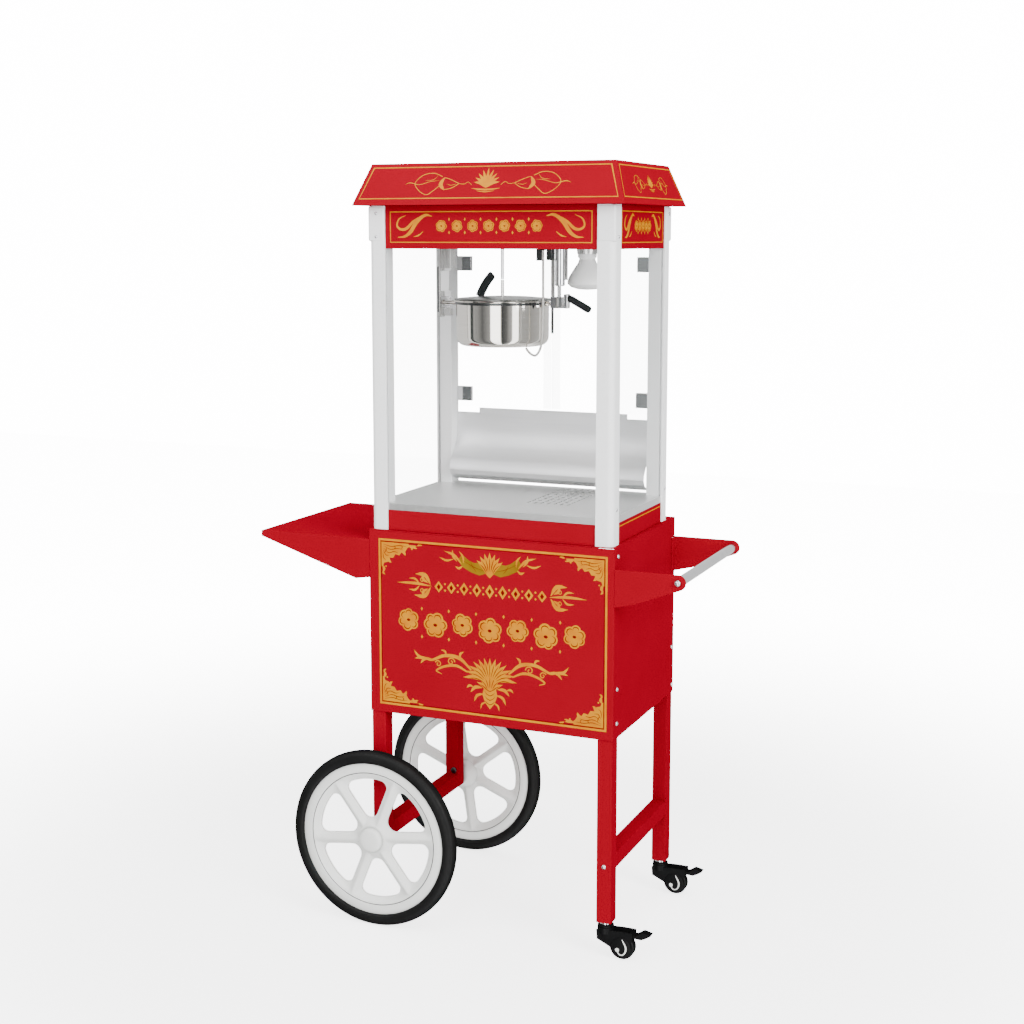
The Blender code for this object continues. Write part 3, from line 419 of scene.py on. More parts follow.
def refined(node, bevel, flat=False):
    """Rebuilds a CAD node with rounded edges, and with its own finish or that of its slot."""
    mesh = bmesh.new()
    mesh.from_mesh(NODES[node].data)
    bmesh.ops.remove_doubles(mesh, verts=mesh.verts, dist=2e-6)
    bmesh.ops.dissolve_limit(mesh, angle_limit=math.radians(0.5), verts=mesh.verts, edges=mesh.edges)
    bmesh.ops.recalc_face_normals(mesh, faces=mesh.faces)
    edges = [e for e in mesh.edges if len(e.link_faces) == 2 and e.calc_face_angle(0) > SHARP_EDGE]
    bmesh.ops.bevel(mesh, geom=edges, offset=bevel, segments=2, profile=0.5, affect="EDGES", clamp_overlap=True)
    finish = NODE_FINISH.get(node) or FINISH[SLOT_OF[node]]
    smooth = None if flat else 50
    return build(f"{node}_finish", mesh, finish, BODY_OF[node], smooth, replaces=[node], weighted=not flat)


def at(x, y, z):
    """A place measured from the cabinet's centre line."""
    return Vector((CART_X + x, y, z))


def loft(mesh, sections, closed=False):
    """Joins rings of points, and caps the two ends unless the rings close on each other."""
    rings = [[mesh.verts.new(point) for point in section] for section in sections]
    pairs = list(zip(rings, rings[1:]))
    if closed:
        pairs.append((rings[-1], rings[0]))
    count = len(rings[0])
    for a, b in pairs:
        for i in range(count):
            j = (i + 1) % count
            mesh.faces.new((a[i], a[j], b[j], b[i]))
    if not closed:
        mesh.faces.new(rings[0])
        mesh.faces.new(rings[-1])
    return mesh


def turned(profile, centre, axis, segments=64, mesh=None):
    """Turns a closed profile of (radius, height) points about an axis through a centre."""
    mesh = mesh or bmesh.new()
    turn = Vector((0, 0, 1)).rotation_difference(Vector(axis)).to_matrix()
    sections = []
    for i in range(segments):
        angle = math.tau * i / segments
        ring = [(r * math.cos(angle), r * math.sin(angle), h) for r, h in profile]
        sections.append([turn @ Vector(point) + Vector(centre) for point in ring])
    loft(mesh, sections, closed=True)
    bmesh.ops.remove_doubles(mesh, verts=mesh.verts, dist=1e-6)
    return mesh


def block(low, high, bevel=0.0, segments=2, mesh=None):
    """A box between two corners measured from the cabinet's centre line."""
    low, high = at(*low), at(*high)
    size, place = high - low, (low + high) / 2
    solid = bmesh.new()
    matrix = Matrix.Translation(place) @ Matrix.Diagonal((*size, 1))
    bmesh.ops.create_cube(solid, size=1, matrix=matrix)
    if bevel:
        bmesh.ops.bevel(
            solid, geom=solid.edges[:], offset=bevel, segments=segments, profile=0.5, affect="EDGES"
        )
    return merged(mesh, solid)


def merged(mesh, extra):
    """Adds a second bmesh to the first and returns the first."""
    if mesh is None:
        return extra
    data = bpy.data.meshes.new("merge")
    extra.to_mesh(data)
    extra.free()
    mesh.from_mesh(data)
    bpy.data.meshes.remove(data)
    return mesh


def circle(radius, count):
    turns = [math.tau * i / count for i in range(count)]
    return [(radius * math.cos(turn), radius * math.sin(turn)) for turn in turns]


def tube(route, radius, sides=12, mesh=None):
    """A round bar or cable along a list of points. radius is one number, or one for each point."""
    mesh = mesh or bmesh.new()
    radii = radius if isinstance(radius, list) else [radius] * len(route)
    points = [Vector(point) for point in route]
    side = None
    sections = []
    for i, point in enumerate(points):
        along = (points[min(i + 1, len(points) - 1)] - points[max(i - 1, 0)]).normalized()
        if side is None:
            side = along.orthogonal().normalized()
        side = (side - along * side.dot(along)).normalized()
        other = along.cross(side)
        sections.append([point + side * a + other * b for a, b in circle(radii[i], sides)])
    return loft(mesh, sections)


def spread(points, steps):
    """Points on a Catmull-Rom curve through the given points."""
    points = [Vector(point) for point in points]
    ends = [points[0] * 2 - points[1], *points, points[-1] * 2 - points[-2]]
    route = []
    for a, b, c, d in zip(ends, ends[1:], ends[2:], ends[3:]):
        for step in range(steps):
            t = step / steps
            route.append((b * 2 + (c - a) * t + (a * 2 - b * 5 + c * 4 - d) * t**2
                          + (b * 3 - a - c * 3 + d) * t**3) / 2)
    return [*route, points[-1]]


DOME = [(0, 0.62), (0.45, 0.56), (0.8, 0.36), (1.0, 0.06), (1.0, -0.25), (0, -0.25)]
PAN = [(0, 0.42), (0.75, 0.42), (0.95, 0.3), (1.0, 0.05), (1.0, -0.25), (0, -0.25)]


def bolts(name, places, axis, radius, body="cart", material=BOLT, profile=DOME):
    """Bolt heads in one piece. Each place is measured from the cabinet's centre line."""
    mesh = bmesh.new()
    for place in places:
        scaled = [(r * radius, h * radius) for r, h in profile]
        turned(scaled, at(*place), axis, 24, mesh)
    return build(name, mesh, material, body, 40, slot="chrome")


# ---------------------------------------------------------------- printed decoration

ROOF_EAVE, ROOF_RISE, ROOF_RUN_FRONT, ROOF_RUN_SIDE = 1.45, 0.08, 0.0335, 0.028
MACHINE_HALF = 0.252


class Print:
    """Thin printed shapes on a flat face. u runs to the right and v up, seen from outside."""

    # Height above the face and finish of each ink.
    INKS = {"gold": (0.00022, GOLD), "olive": (0.00018, OLIVE), "line": (0.00042, RED_INK)}
    ROOT = -0.0001
    LAYER, LAYERS = 0.000006, 17

    def __init__(self, name, origin, across, up, body="cart"):
        self.name, self.body = name, body
        self.origin = Vector(origin)
        self.across, self.up = Vector(across).normalized(), Vector(up).normalized()
        self.out = self.across.cross(self.up)
        self.meshes = {}
        self.count = 0

    def levels(self, ink):
        """Each shape is a hair higher than the last, so that two which cross never share a plane."""
        self.count += 1
        return self.ROOT, self.INKS[ink][0] + self.LAYER * (self.count % self.LAYERS)

    def mesh(self, ink):
        return self.meshes.setdefault(ink, bmesh.new())

    def place(self, u, v, height):
        return self.origin + self.across * u + self.up * v + self.out * height

    def stroke(self, points, widths, ink="gold", both=False, steps=6):
        """A brush stroke. widths are its full widths at even steps from start to end."""
        for side in (1, -1) if both else (1,):
            path = spread([(side * u, v, 0) for u, v in points], steps)
            low, high = self.levels(ink)
            sections = []
            for i, point in enumerate(path):
                along = path[min(i + 1, len(path) - 1)] - path[max(i - 1, 0)]
                along = along.normalized() if along.length > 0 else Vector((1, 0, 0))
                half = max(0.0001, blend_of(widths, i / (len(path) - 1)) / 2)
                du, dv = -along.y * half, along.x * half
                u, v = point.x, point.y
                sections.append([
                    self.place(u + du, v + dv, low), self.place(u - du, v - dv, low),
                    self.place(u - du, v - dv, high), self.place(u + du, v + dv, high),
                ])
            loft(self.mesh(ink), sections)

    def leaf(self, base, tip, width, bow=0.0, ink="gold", both=False):
        """A pointed leaf whose middle line bows to its left by a share of its length."""
        du, dv = tip[0] - base[0], tip[1] - base[1]
        middle_point = ((base[0] + tip[0]) / 2 - dv * bow, (base[1] + tip[1]) / 2 + du * bow)
        self.stroke([base, middle_point, tip], [width * w for w in (0.15, 0.8, 1.0, 0.75, 0.0)], ink, both)

    def shape(self, points, ink="gold", both=False):
        """A filled outline."""
        for side in (1, -1) if both else (1,):
            low, high = self.levels(ink)
            mesh = self.mesh(ink)
            rings = [[mesh.verts.new(self.place(side * u, v, h)) for u, v in points] for h in (low, high)]
            caps = [mesh.faces.new(ring) for ring in rings]
            for i in range(len(points)):
                j = (i + 1) % len(points)
                mesh.faces.new((rings[0][i], rings[0][j], rings[1][j], rings[1][i]))
            for cap in caps:
                cap.normal_update()
            bmesh.ops.triangulate(mesh, faces=caps)

    def dot(self, centre, radius, both=False):
        self.shape([(centre[0] + a, centre[1] + b) for a, b in circle(radius, 16)], both=both)

    def diamond(self, centre, width, height, ink="gold", both=False):
        (u, v), a, b = centre, width / 2, height / 2
        self.shape([(u + a, v), (u, v + b), (u - a, v), (u, v - b)], ink, both)

    def scroll(self, centre, start, end, first, turn, widths):
        """A spiral from one radius to another, with a round eye at its end."""
        points = []
        count = max(6, int(abs(turn) / 30))
        for i in range(count + 1):
            t = i / count
            radius, angle = start + (end - start) * t, math.radians(first + turn * t)
            points.append((centre[0] + radius * math.cos(angle), centre[1] + radius * math.sin(angle)))
        self.stroke(points, widths, both=True, steps=3)
        self.dot(points[-1], widths[-1] * 0.9, both=True)

    def frame(self, corners, width, ink="gold"):
        """A ruled line round a four-sided outline, with mitred corners."""
        centre = [sum(c[k] for c in corners) / 4 for k in (0, 1)]
        low, high = self.levels(ink)
        sections = []
        for u, v in corners:
            su, sv = math.copysign(width, u - centre[0]), math.copysign(width, v - centre[1])
            outer, inner = (u, v), (u - su, v - sv)
            sections.append([self.place(*outer, low), self.place(*inner, low),
                             self.place(*inner, high), self.place(*outer, high)])
        loft(self.mesh(ink), sections, closed=True)

    def kernel(self, centre, size, turn):
        """A popped kernel: a cluster of uneven puffs round a small hull, each puff with a curl."""
        lobes = ((0.0, 0.46, 0.46), (1.15, 0.52, 0.4), (2.3, 0.47, 0.45), (3.35, 0.54, 0.36), (4.2, 0.46, 0.44),
                 (5.25, 0.52, 0.4))
        places = []
        for angle, reach, radius in lobes:
            u = centre[0] + size * reach * math.cos(angle + turn)
            v = centre[1] + size * reach * math.sin(angle + turn)
            places.append((u, v, size * radius, angle + turn))
            self.dot((u, v), size * radius)
        self.dot(centre, size * 0.45)
        for u, v, radius, angle in places:
            curl = [
                (u + radius * 0.62 * math.cos(angle + bend), v + radius * 0.62 * math.sin(angle + bend))
                for bend in (-1.5, -0.8, 0.0, 0.9, 1.9)
            ]
            self.stroke(curl, [size * w for w in (0.0, 0.06, 0.075, 0.06, 0.0)], "line", steps=3)
        hull = [(centre[0] + size * a, centre[1] + size * b) for a, b in
                ((-0.16, 0.02), (-0.06, 0.1), (0.08, 0.08), (0.16, -0.02), (0.06, -0.12), (-0.09, -0.1))]
        self.shape(hull, "line")

    def finish(self):
        for ink, mesh in self.meshes.items():
            build(f"{self.name}_{ink}", mesh, self.INKS[ink][1], self.body, slot="red_enamel")


def blend_of(values, t):
    """A value at t, from 0 to 1, along a list of evenly spaced values."""
    place = min(t, 0.9999) * (len(values) - 1)
    i = int(place)
    return values[i] + (values[i + 1] - values[i]) * (place - i)


def corner_filigree(sheet, u0, v0, su, sv):
    """An acanthus corner that reaches along both borders from the corner at (u0, v0)."""

    def to(a, b):
        return (u0 + su * a, v0 + sv * b)

    edge = [(0.0, 0.0), (0.06, 0.0), (0.063, 0.005), (0.057, 0.01), (0.053, 0.017), (0.045, 0.018),
            (0.04, 0.025), (0.031, 0.023), (0.026, 0.031), (0.017, 0.031), (0.014, 0.04), (0.006, 0.042),
            (0.003, 0.05), (0.0, 0.05)]
    sheet.shape([to(a, b) for a, b in edge])
    for base, tip, width, bow in (
        ((0.06, 0.003), (0.078, 0.003), 0.007, 0.15),
        ((0.07, 0.002), (0.08, 0.008), 0.004, 0.2),
        ((0.08, 0.003), (0.091, 0.001), 0.0045, -0.15),
        ((0.003, 0.048), (0.004, 0.061), 0.006, -0.15),
        ((0.003, 0.058), (0.008, 0.066), 0.004, 0.2),
        ((0.044, 0.017), (0.053, 0.025), 0.006, -0.25),
        ((0.017, 0.03), (0.022, 0.041), 0.006, 0.25),
    ):
        sheet.leaf(to(*base), to(*tip), width, bow * su * sv)
    sheet.dot(to(0.068, 0.01), 0.0017)
    sheet.dot(to(0.01, 0.049), 0.0017)
    for line in (
        [(0.004, 0.004), (0.022, 0.008), (0.04, 0.005), (0.055, 0.006)],
        [(0.005, 0.008), (0.02, 0.014), (0.036, 0.011), (0.048, 0.013)],
        [(0.005, 0.012), (0.016, 0.021), (0.028, 0.018), (0.037, 0.02)],
        [(0.004, 0.016), (0.01, 0.026), (0.018, 0.026)],
        [(0.003, 0.02), (0.005, 0.032), (0.01, 0.036)],
        [(0.028, 0.005), (0.031, 0.01), (0.027, 0.014)],
        [(0.044, 0.004), (0.047, 0.008), (0.043, 0.012)],
        [(0.012, 0.01), (0.01, 0.018), (0.006, 0.022)],
    ):
        sheet.stroke([to(a, b) for a, b in line], [0.0002, 0.0011, 0.0012, 0.0003], "line", steps=5)


def fan(sheet, base, count, half_angle, length, width, edge_length):
    """A shell of leaves spread from one point. The leaves go from one length in the middle to another."""
    for i in range(count):
        share = 2 * i / (count - 1) - 1
        angle = math.radians(90 - half_angle * share)
        reach = length + (edge_length - length) * abs(share) ** 1.4
        start, end, tip = (
            (base[0] + reach * part * math.cos(angle), base[1] + reach * part * math.sin(angle))
            for part in (0.25, 0.8, 1)
        )
        sheet.leaf(base, tip, width, 0.1 * share)
        sheet.leaf(start, end, width * 0.16, 0.1 * share, "line")


def decorate_cabinet():
    """The big printed panel: border, corners, leaf crest, beaded band, a row of kernels and a shell."""
    sheet = Print("cabinet_front_print", at(0.004, -0.1875, 0), (1, 0, 0), (0, 0, 1))
    sheet.frame([(-0.243, 0.454), (0.243, 0.454), (0.243, 0.794), (-0.243, 0.794)], 0.0042)
    sheet.frame([(-0.2375, 0.4595), (0.2375, 0.4595), (0.2375, 0.7885), (-0.2375, 0.7885)], 0.0009, "line")
    for su in (-1, 1):
        for v0, sv in ((0.461, 1), (0.787, -1)):
            corner_filigree(sheet, su * 0.2365, v0, -su, sv)
    # Leaf crest at the top.
    fan(sheet, (0, 0.733), 7, 40, 0.05, 0.0105, 0.043)
    sheet.shape([(0.008, 0.741), (0.022, 0.736), (0.04, 0.741), (0.058, 0.75), (0.068, 0.762), (0.06, 0.775),
                 (0.052, 0.77), (0.044, 0.764), (0.033, 0.76), (0.02, 0.762), (0.012, 0.754)],
                "olive", both=True)
    sheet.stroke([(0.012, 0.746), (0.034, 0.752), (0.058, 0.764)], [0.0002, 0.001, 0.0002], "line", True)
    sheet.stroke([(0.028, 0.742), (0.036, 0.752), (0.04, 0.76)], [0.0002, 0.0009, 0.0002], "line", True)
    for base, tip, width, bow in (
        ((0.06, 0.756), (0.098, 0.779), 0.0055, 0.12),
        ((0.07, 0.76), (0.08, 0.783), 0.0045, -0.15),
        ((0.078, 0.764), (0.108, 0.766), 0.0045, -0.15),
        ((0.058, 0.752), (0.074, 0.75), 0.005, -0.25),
        ((0.056, 0.758), (0.066, 0.781), 0.004, 0.15),
    ):
        sheet.leaf(base, tip, width, bow, both=True)
    # Beaded band with a flourish at each end.
    for i in range(-4, 5):
        sheet.diamond((i * 0.0275, 0.706), 0.019, 0.028 - 0.0012 * abs(i))
        sheet.diamond((i * 0.0275, 0.706), 0.008, 0.012, "line")
    for i in range(4):
        for v in (0.7125, 0.6995):
            sheet.dot((i * 0.0275 + 0.01375, v), 0.0022, both=True)
    for base, tip, width, bow in (
        ((0.126, 0.706), (0.202, 0.7075), 0.0058, 0.03),
        ((0.128, 0.709), (0.162, 0.728), 0.0085, 0.25),
        ((0.128, 0.703), (0.164, 0.685), 0.0085, -0.25),
        ((0.134, 0.712), (0.146, 0.731), 0.006, -0.2),
        ((0.134, 0.7), (0.146, 0.682), 0.006, 0.2),
        ((0.152, 0.708), (0.176, 0.718), 0.0045, 0.2),
        ((0.152, 0.705), (0.176, 0.696), 0.0045, -0.2),
    ):
        sheet.leaf(base, tip, width, bow, both=True)
    sheet.scroll((0.146, 0.7165), 0.0065, 0.002, 200, -330, [0.0012, 0.0018, 0.0016])
    sheet.scroll((0.146, 0.6965), 0.0065, 0.002, 160, 330, [0.0012, 0.0018, 0.0016])
    # The row of popped kernels.
    for i in range(-3, 4):
        lift = 0.0035 if i % 2 else -0.002
        sheet.kernel((i * 0.059, 0.63 + lift), 0.0285 if i % 2 == 0 else 0.0255, 0.7 * i + 0.3)
    for i in range(3):
        sheet.diamond((i * 0.059 + 0.0295, 0.6585), 0.005, 0.008, both=True)
        sheet.diamond((i * 0.059 + 0.0295, 0.6015), 0.005, 0.008, both=True)
    # Shell, pendant and scrolls at the bottom.
    fan(sheet, (0, 0.523), 13, 84, 0.05, 0.0095, 0.058)
    fan(sheet, (0, 0.503), 7, 55, 0.04, 0.008, 0.034)
    sheet.shape([(0.0, 0.47), (0.01, 0.482), (0.016, 0.498), (0.013, 0.512), (0.006, 0.52), (-0.006, 0.52),
                 (-0.013, 0.512), (-0.016, 0.498), (-0.01, 0.482)])
    for v in (0.482, 0.491, 0.5, 0.509):
        sheet.stroke([(0, v - 0.003), (0.006, v), (0.011, v + 0.005)], [0.0012, 0.0011, 0.0002], "line", True)
    for base, tip, width, bow in (
        ((0.016, 0.512), (0.042, 0.5), 0.007, 0.2),
        ((0.014, 0.5), (0.034, 0.482), 0.006, 0.2),
        ((0.008, 0.484), (0.02, 0.468), 0.004, 0.2),
        ((0.036, 0.512), (0.05, 0.508), 0.005, 0.25),
    ):
        sheet.leaf(base, tip, width, bow, both=True)
    sheet.stroke([(0.04, 0.545), (0.066, 0.566), (0.098, 0.568), (0.128, 0.556), (0.15, 0.562)],
                 [0.0035, 0.0075, 0.0065, 0.0045, 0.001], both=True)
    sheet.stroke([(0.048, 0.54), (0.072, 0.55), (0.098, 0.546), (0.116, 0.536), (0.104, 0.53)],
                 [0.003, 0.0055, 0.005, 0.0035, 0.001], both=True)
    sheet.scroll((0.084, 0.557), 0.0085, 0.002, 180, -420, [0.0026, 0.0024, 0.0016])
    sheet.scroll((0.112, 0.55), 0.007, 0.0018, 20, 400, [0.0024, 0.0022, 0.0014])
    for base, tip, width, bow in (
        ((0.126, 0.558), (0.152, 0.546), 0.006, 0.2),
        ((0.138, 0.56), (0.166, 0.573), 0.0055, -0.2),
        ((0.144, 0.556), (0.164, 0.556), 0.0045, 0.1),
        ((0.064, 0.566), (0.056, 0.58), 0.005, -0.25),
        ((0.094, 0.569), (0.106, 0.579), 0.0045, 0.25),
    ):
        sheet.leaf(base, tip, width, bow, both=True)
    sheet.finish()


def decorate_roof_face(name, origin, across, up, half, top_half, length, scale):
    """A ruled border and a shell between two pods, on one slope of the roof."""
    sheet = Print(name, origin, across, up)
    low, high, inset = 0.0127, length - 0.0078, 0.009

    def reach(v):
        return half + (top_half - half) * v / length - inset

    sheet.frame([(-reach(low), low), (reach(low), low), (reach(high), high), (-reach(high), high)], 0.002)
    v0, k = 0.03, scale

    def to(u, v):
        return (u * k, v0 + (v - v0) * min(1.0, k * 1.25))

    for i in range(9):
        share = i / 4 - 1
        angle = math.radians(90 - 66 * share)
        length_here = (0.041 - 0.012 * abs(share)) * k
        tip = (length_here * math.cos(angle), v0 + 0.004 + length_here * math.sin(angle))
        sheet.leaf((0, v0 + 0.004), tip, 0.0062 * k, 0.12 * share)
    sheet.stroke([to(0, 0.03), to(0.014, 0.031), to(0.029, 0.033)], [0.004 * k, 0.003 * k, 0.0008], both=True)
    sheet.stroke([to(0, 0.0255), to(0.01, 0.0265), to(0.018, 0.028)],
                 [0.0022 * k, 0.0016 * k, 0.0006], both=True)
    sheet.stroke([to(0.03, 0.04), to(0.038, 0.046), to(0.046, 0.042), to(0.057, 0.043)],
                 [0.001 * k] * 3, both=True)
    sheet.stroke([to(0.057, 0.043), to(0.072, 0.034), to(0.09, 0.032), to(0.093, 0.043), to(0.09, 0.055),
                  to(0.074, 0.051), to(0.057, 0.043)], [0.0014 * k] * 3, both=True)
    sheet.leaf(to(0.089, 0.056), to(0.086, 0.03), 0.0085 * k, 0.3, both=True)
    sheet.stroke([to(0.064, 0.042), to(0.074, 0.04), to(0.083, 0.043)], [0.0006, 0.001 * k, 0.0004], both=True)
    sheet.stroke([to(0.094, 0.058), to(0.112, 0.065), to(0.134, 0.062), to(0.15, 0.046), to(0.14, 0.03),
                  to(0.122, 0.021), to(0.108, 0.03), to(0.097, 0.04)], [0.0014 * k] * 3, both=True)
    sheet.stroke([to(0.17, 0.043), to(0.16, 0.046), to(0.14, 0.042), to(0.118, 0.048), to(0.1, 0.05)],
                 [0.0006, 0.0018 * k, 0.0012 * k, 0.001 * k, 0.0004], both=True)
    sheet.stroke([to(0.104, 0.06), to(0.112, 0.052), to(0.128, 0.05)], [0.0004, 0.0012 * k, 0.0004], both=True)
    sheet.finish()


def decorate_band(name, origin, across, half, scale):
    """The band under the roof: a ruled border, an S-scroll at each end and a row of small kernels."""
    sheet = Print(name, origin, across, (0, 0, 1))
    border = half - 0.01
    sheet.frame([(-border, 1.3785), (border, 1.3785), (border, 1.4385), (-border, 1.4385)], 0.0018)
    end = border - 0.014
    start = end - 0.074 * scale

    def to(share, v):
        return (start + (end - start) * share, v)

    sheet.stroke([to(-0.04, 1.429), to(0.16, 1.431), to(0.4, 1.419), to(0.58, 1.4), to(0.76, 1.3905),
                  to(0.96, 1.389)], [0.0015, 0.0055, 0.0085, 0.0075, 0.005, 0.001], both=True)
    sheet.stroke([to(0.36, 1.427), to(0.52, 1.418), to(0.7, 1.406), to(0.86, 1.404), to(0.98, 1.411),
                  to(0.92, 1.424), to(0.72, 1.431)], [0.001, 0.005, 0.006, 0.0045, 0.004, 0.0028, 0.0008],
                 both=True)
    sheet.stroke([to(0.22, 1.4), to(0.36, 1.3925), to(0.5, 1.39)], [0.001, 0.003, 0.0006], both=True)
    count = 3 if scale == 1 else 2
    pitch = (start - 0.006) / (count + 0.5)
    for i in range(-count, count + 1):
        sheet.kernel((i * pitch, 1.4105), 0.0128 * (0.75 + 0.25 * scale), 0.9 * i + 0.3)
    for i in range(count):
        for v in (1.423, 1.398):
            sheet.diamond(((i + 0.5) * pitch, v), 0.004, 0.007, both=True)
    sheet.finish()


def decorate():
    decorate_cabinet()
    for axis_half, cross_half, run, faces, top, scale in (
        (0.1895, 0.28, ROOF_RUN_FRONT, (("front", 0, -1), ("back", 0, 1)), 0.252, 1),
        (0.28, 0.1895, ROOF_RUN_SIDE, (("right", 1, 0), ("left", -1, 0)), 0.156, 0.62),
    ):
        slope = math.hypot(run, ROOF_RISE)
        for name, x, y in faces:
            origin = at(x * axis_half, MACHINE_Y + y * axis_half, ROOF_EAVE)
            decorate_roof_face(f"roof_{name}_print", origin, (-y, x, 0), (-x * run, -y * run, ROOF_RISE),
                               cross_half, top, slope, scale)
    decorate_band("band_front_print", at(0, -0.181, 0), (1, 0, 0), 0.2195, 1)
    for name, side in (("right", 1), ("left", -1)):
        side_face = at(side * MACHINE_HALF, MACHINE_Y, 0)
        decorate_band(f"band_{name}_print", side_face, (0, side, 0), 0.1315, 0.72)
        sheet = Print(f"base_{name}_print", side_face, (0, side, 0), (0, 0, 1))
        sheet.stroke([(-0.13, 0.8445), (0, 0.8445), (0.13, 0.8445)], [0.002] * 3)
        sheet.finish()


# ---------------------------------------------------------------- wheels

AXLE_X, AXLE_Z, WHEEL_Y = -0.2382, 0.182, 0.22
SPOKES = 6
SECTOR = 360 / SPOKES
SECTOR_STEPS = 14
HUB_EDGE, RIM_EDGE = 0.026, 0.1328
# The casting's widths below are drawn for a slightly smaller wheel.
CASTING_SCALE = 1.03


def window_outline():
    """The rounded three-cornered hole between two spokes, centred on the X axis."""
    half_spoke, outer, corner, inner = 0.0119, 0.1195, 0.014, 0.018
    lean = math.degrees(math.asin((half_spoke + corner) / (outer - corner)))
    swing = 30 - lean
    points = []
    for i in range(9):
        angle = math.radians(-swing + 2 * swing * i / 8)
        points.append((outer * math.cos(angle), outer * math.sin(angle)))
    turn = math.radians(swing)
    centre = ((outer - corner) * math.cos(turn), (outer - corner) * math.sin(turn))
    for i in range(1, 9):
        angle = math.radians(swing + (120 - swing) * i / 8)
        points.append((centre[0] + corner * math.cos(angle), centre[1] + corner * math.sin(angle)))
    apex = 2 * (half_spoke + inner)
    for i in range(9):
        angle = math.radians(120 + 120 * i / 8)
        points.append((apex + inner * math.cos(angle), inner * math.sin(angle)))
    for i in range(8):
        angle = math.radians(-120 + (120 - swing) * i / 8)
        points.append((centre[0] + corner * math.cos(angle), -centre[1] + corner * math.sin(angle)))
    return points


def hit(outline, start, towards):
    """Where a ray from inside an outline crosses it."""
    best = None
    dx, dy = towards[0] - start[0], towards[1] - start[1]
    for i, a in enumerate(outline):
        b = outline[(i + 1) % len(outline)]
        ex, ey = b[0] - a[0], b[1] - a[1]
        cross = dx * ey - dy * ex
        if abs(cross) < 1e-12:
            continue
        t = ((a[0] - start[0]) * ey - (a[1] - start[1]) * ex) / cross
        s = ((a[0] - start[0]) * dy - (a[1] - start[1]) * dx) / cross
        if t > 0 and -1e-9 <= s <= 1 + 1e-9 and (best is None or t < best):
            best = t
    return (start[0] + dx * best, start[1] + dy * best)


def spoke_height(radius):
    """Half the wheel's thickness along a spoke's crest, from the hub to the rim."""
    share = (radius - HUB_EDGE) / (RIM_EDGE - HUB_EDGE)
    return blend_of([0.0116, 0.0114, 0.0112, 0.011, 0.0108, 0.0105, 0.0102], share)


def wheel_sector():
    """One sixth of the casting: rows of (x, y, half thickness) from the window's edge to its neighbours."""
    cos, sin = math.cos(math.radians(SECTOR / 2)), math.sin(math.radians(SECTOR / 2))
    shares = [i / SECTOR_STEPS for i in range(SECTOR_STEPS)]
    border = []
    for share in shares:
        angle = math.radians(SECTOR * (share - 0.5))
        border.append((RIM_EDGE * math.cos(angle), RIM_EDGE * math.sin(angle), 0.01))
    for share in shares:
        r = RIM_EDGE + (HUB_EDGE - RIM_EDGE) * share
        border.append((r * cos, r * sin, spoke_height(r)))
    for i in range(6):
        angle = math.radians(SECTOR * (0.5 - i / 6))
        border.append((HUB_EDGE * math.cos(angle), HUB_EDGE * math.sin(angle), 0.0116))
    for share in shares:
        r = HUB_EDGE + (RIM_EDGE - HUB_EDGE) * share
        border.append((r * cos, -r * sin, spoke_height(r)))
    outline, middle_point = window_outline(), (0.084, 0.0)
    edge = [hit(outline, middle_point, point) for point in border]
    rows = []
    for share in (0.0, 0.05, 0.14, 0.28, 0.45, 0.64, 0.82, 1.0):
        rise = share * share * (3 - 2 * share)
        row = []
        for (ex, ey), (bx, by, bh) in zip(edge, border):
            thin = 0.003 if share else 0.0016
            row.append((ex + (bx - ex) * share, ey + (by - ey) * share, thin + (bh - thin) * rise))
        rows.append(row)
    return rows


